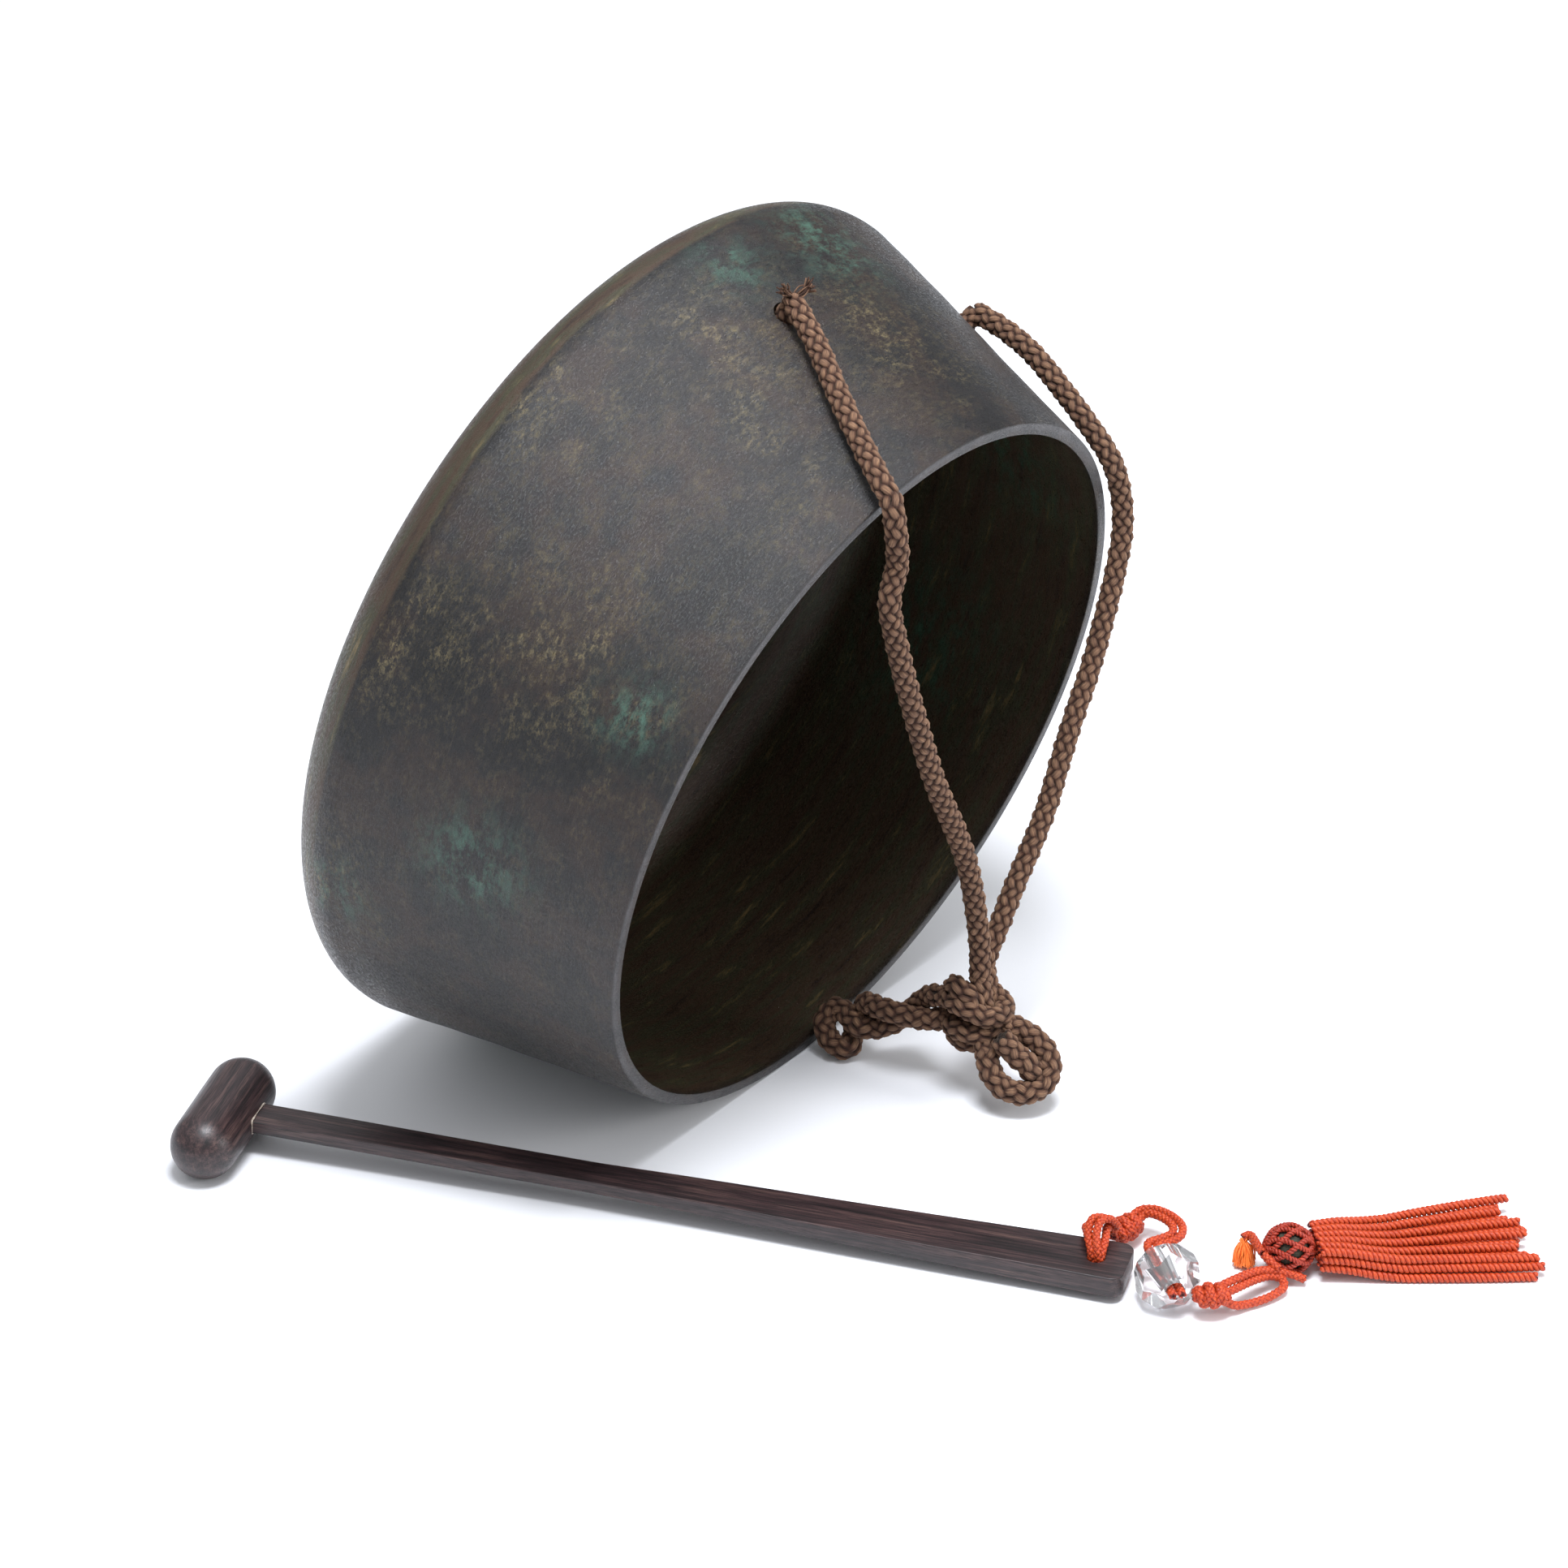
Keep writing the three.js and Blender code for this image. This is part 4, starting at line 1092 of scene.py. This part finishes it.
def wrapped_knot(name, centre, size, turn_degrees, node_name):
    """A long knot: the silk cord wound round itself, with two turns crossing over."""
    surface = Surface()
    long, wide, high = size
    way = Matrix.Rotation(math.radians(turn_degrees), 3, "Z")
    for start, tilt, squeeze in ((0.0, 1, 1.0), (0.5, -1, 0.94)):
        points = []
        for t in np.linspace(0, 1, 46):
            along = (t - 0.5) * (long - SILK)
            bulge = math.sqrt(max(0.15, 1 - (2 * t - 1) ** 2 * 0.85)) * squeeze
            angle = tilt * (2 * math.pi * KNOT_TURNS * t + start * 2 * math.pi)
            points.append(Vector(centre) + way @ Vector((
                along, (wide - SILK) / 2 * bulge * math.cos(angle),
                (high - SILK) / 2 * bulge * math.sin(angle))))
        plait(surface, points, SILK_FULL, SILK_PITCH, SILK_PER_WAY, SILK_SIDES)
    core = [Vector(centre) + way @ Vector((s * (long / 2 - 1), 0, 0)) for s in (-1, 0, 1)]
    plait(surface, core, SILK * 1.8, SILK_PITCH, SILK_PER_WAY, SILK_SIDES)
    finish_piece(surface.object(name), SILK_CORD, "wrist_cord", "silk", node_name)


def wrist_cord():
    body = "wrist_cord"
    for name, offset in (("left", SIDE), ("right", -SIDE)):
        silk_piece(f"silk_wrist_cord_{name}", [beside(WRIST, offset)], body, f"wrist_cord_{name}",
                   far_end="object")
    wrapped_knot("silk_wrist_knot", (-22.4, -149.0, 6.2), (13, 9, 9), -12, "wrist_knot")
    wrapped_knot("silk_lower_knot", (-39.0, -192.0, 7.8), (12.4, 8.6, 8.4), -48, "lower_knot")
    silk_piece("silk_lower_loop", [LOWER_LOOP], body, "lower_loop", far_end="object")
    silk_piece("silk_lower_loop_second", [LOOP_SECOND], body, far_end="object")
    silk_piece("silk_tassel_neck", [NECK], body, "tassel_neck")
    silk_piece("silk_cut_end", [CUT_END], body, "cut_end")
    tuft()


def tuft():
    """The cord's cut end, combed out into floss."""
    floss = Surface()
    centre = Vector((-9.8, -185.2, 4.2))
    root = centre + Vector((1.4, 1.2, 4.2))
    for _ in range(230):
        angle = rng.uniform(0, 2 * math.pi)
        spread = 3.7 * math.sqrt(rng.uniform(0, 1))
        foot = centre + Vector((
            spread * math.cos(angle), spread * math.sin(angle), -3.2 + rng.uniform(0, 1.2)))
        belly = (root + foot) / 2 + Vector((rng.normal(0, 0.7), rng.normal(0, 0.7), 0.8))
        line = catmull([root + Vector(rng.normal(0, 0.4, 3)), belly, foot], 0.9)
        floss.tube(line, 0.42, 0.42, sides=5, offset=rng.uniform(0, 90), shade=1)
    finish_piece(floss.object("silk_tuft"), SILK_TUFT, "wrist_cord", "silk", "cut_end_tuft")


def crystal_bead():
    """A ball cut with flat facets, six round its waist and six towards each end of its
    bore, then bored through."""
    shape = bmesh.new()
    bmesh.ops.create_cube(shape, size=BEAD * 2 * MM)
    cuts = []
    for tilt, depth, first in ((0, 0.93, 0), (46, 0.93, 30), (-46, 0.93, 30)):
        for k in range(6):
            spin, lean = math.radians(first + 60 * k), math.radians(tilt)
            out = Vector((math.cos(lean) * math.cos(spin), math.sin(lean), math.cos(lean) * math.sin(spin)))
            cuts.append((out, depth))
    cuts += [(Vector((0, 1, 0)), 0.87), (Vector((0, -1, 0)), 0.87)]
    for out, depth in cuts:
        everything = shape.verts[:] + shape.edges[:] + shape.faces[:]
        cut = bmesh.ops.bisect_plane(shape, geom=everything, plane_co=out * BEAD / 2 * depth * MM,
                                     plane_no=out, clear_outer=True)
        rim = [item for item in cut["geom_cut"] if isinstance(item, bmesh.types.BMEdge)]
        bmesh.ops.holes_fill(shape, edges=rim, sides=0)
    bmesh.ops.recalc_face_normals(shape, faces=shape.faces)
    mesh = bpy.data.meshes.new("crystal_ball")
    shape.to_mesh(mesh)
    shape.free()
    piece = bpy.data.objects.new("crystal_ball", mesh)
    bpy.context.scene.collection.objects.link(piece)
    turn = Vector((0, 1, 0)).rotation_difference(BORE).to_matrix().to_4x4()
    piece.matrix_world = Matrix.Translation(at(*BEAD_CENTRE)) @ turn
    bpy.context.view_layer.update()
    drill(piece, Vector((0, -BEAD, 0)) * MM, Vector((0, BEAD, 0)) * MM, BEAD_BORE, 24)
    piece.data.polygons.foreach_set("use_smooth", [False] * len(piece.data.polygons))
    finish_piece(piece, CRYSTAL, "bead", "crystal", "crystal_bead")


# ---------------------------------------------------------------- tassel
NET_DIAMETER = TASSEL_CORE + 2 * (GAP + NET_THICKNESS)
TASSEL_HEIGHT = NET_DIAMETER / 2 + 0.2
TASSEL = (Matrix.Translation(Vector((-4.0, -197.7, TASSEL_HEIGHT)))
          @ Matrix.Rotation(math.radians(-42.4), 4, "Z"))
PITCH = TASSEL_CORD + 0.35


def tassel_spot(x, y, z):
    return TASSEL @ Vector((x, y, z))


def skirt_route(column, layer):
    points = []
    start = NET_DIAMETER / 2 + 0.6
    rest_height = TASSEL_CORD / 2 + 0.25 - TASSEL_HEIGHT
    start_height = -((TASSEL_LAYERS - 1) / 2) * PITCH
    length = TASSEL_LENGTH + 3 * math.sin(2.1 * column + 1.3 * layer)
    for i in range(9):
        share = i / 8
        roll = TASSEL_FAN * share
        settle = min(1, share / 0.4)
        base = start_height + (rest_height - start_height) * settle * settle * (3 - 2 * settle)
        column_pitch = PITCH * (1 + TASSEL_SPREAD * math.sin(roll))
        middle = (TASSEL_COLUMNS - 1) / 2 * column_pitch + PITCH * math.sin(roll)
        y = column * column_pitch + layer * PITCH * math.sin(roll) - middle
        points.append(tassel_spot(start + length * share, y, base + layer * PITCH * math.cos(roll)))
    return points


def tassel():
    number = 1
    for column in range(TASSEL_COLUMNS):
        for layer in range(TASSEL_LAYERS):
            cord = Surface()
            route = skirt_route(column, layer)
            line = laid(cord, route, TASSEL_CORD_FULL, TASSEL_LAY, turn=rng.uniform(0, 6))
            piece = cord.object(f"tassel_strand_{number:02d}")
            finish_piece(piece, SILK_CORD, "tassel", "silk", f"tassel_cord_{number:02d}")
            number += 1


def net_spot(along, spin):
    """A place on the net: its share of the way from pole to pole, and its turn round."""
    radius = TASSEL_CORE / 2 + GAP + NET_THICKNESS / 2 + 0.1
    polar = math.pi * along
    return tassel_spot(-radius * math.cos(polar), radius * math.sin(polar) * math.cos(spin),
                       radius * math.sin(polar) * math.sin(spin))


def tassel_head():
    """A net of laid silk round a dark ball."""
    core = TASSEL_CORE / 2
    arc = [(core * math.sin(t), core * math.cos(t)) for t in np.linspace(0, math.pi, 20)]
    arc[0], arc[-1] = (0, core), (0, -core)
    verts, faces = turned(arc, 32)
    piece = new_object("tassel_core_ball", verts * MM, faces, verts)
    piece.matrix_world = Matrix.Translation(contact) @ Matrix.Translation(
        TASSEL.to_translation() * MM) @ TASSEL.to_3x3().to_4x4()
    finish_piece(piece, CORE, "tassel", "core", "tassel_core")
    net = Surface()
    for way in (1, -1):
        for strand in range(NET_STRANDS):
            first = 2 * math.pi * strand / NET_STRANDS
            points = [net_spot(t, way * 1.9 * t + first) for t in np.linspace(0.06, 0.97, 26)]
            laid(net, points, 1.9, 2.3, sides=6)
    for along, size in ((0.09, 2.0), (0.9, 1.7)):
        ring = [net_spot(along, spin) for spin in np.linspace(0, 2 * math.pi, 22)]
        laid(net, ring, size, 2.4, sides=6)
    finish_piece(net.object("silk_net"), SILK_NET, "tassel", "silk", "tassel_net")


# ---------------------------------------------------------------- setting
def lamp(name, place, aim, size, power, colour):
    """A rectangular soft box, in metres and watts."""
    data = bpy.data.lights.new(name, "AREA")
    data.shape = "RECTANGLE"
    data.size, data.size_y = size
    data.energy = power
    data.color = linear(colour)[:3]
    light = bpy.data.objects.new(name, data)
    light.location = Vector(place)
    light.rotation_euler = (Vector(aim) - Vector(place)).to_track_quat("-Z", "Y").to_euler()
    bpy.context.scene.collection.objects.link(light)


def setting():
    """A floor of pale matt paper, two soft boxes and a tent of light round them."""
    half = 4.0
    corners = [(-half, -half, 0), (half, -half, 0), (half, half, 0), (-half, half, 0)]
    floor_mesh = bpy.data.meshes.new("floor")
    floor_mesh.from_pydata(corners, [], [(0, 1, 2, 3)])
    floor = bpy.data.objects.new("floor", floor_mesh)
    bpy.context.scene.collection.objects.link(floor)
    paper, _, _ = start_material("pale_paper", {"Roughness": 0.8, "Base Color": linear("f4f5f8")})
    floor.data.materials.append(paper)
    lamp("soft_box_overhead", (-0.2, -0.25, 1.6), (0, 0, 0), (0.62, 0.5), 33, "f6f9ff")
    lamp("soft_box_front", (0.7, -1.7, 0.7), (0.02, -0.02, 0.12), (0.7, 0.7), 17, "ffffff")
    world = bpy.data.worlds.new("studio")
    world.use_nodes = True
    # Dim at the horizon and bright overhead, like a tent open at its sides.
    sky = world.node_tree
    way = add_node(sky, "TexCoord", "Generated")
    up = add_node(sky, "SeparateXYZ", "Z", {0: way})
    shine = add_node(sky, "MapRange", "Result", {
        "Value": up, "From Min": 0.0, "From Max": 0.8, "To Min": 0.2, "To Max": 0.85})
    feed(sky.nodes["Background"], {"Strength": shine, "Color": (0.95, 0.97, 1.0, 1)})
    bpy.context.scene.world = world
    bpy.context.scene.view_settings.view_transform = "Standard"


hanging_cord()
hanging_knot()
wrist_cord()
hitches()
tassel()
tassel_head()
crystal_bead()
mallet_head()
mallet_handle()
glue_line()
bell()
setting()
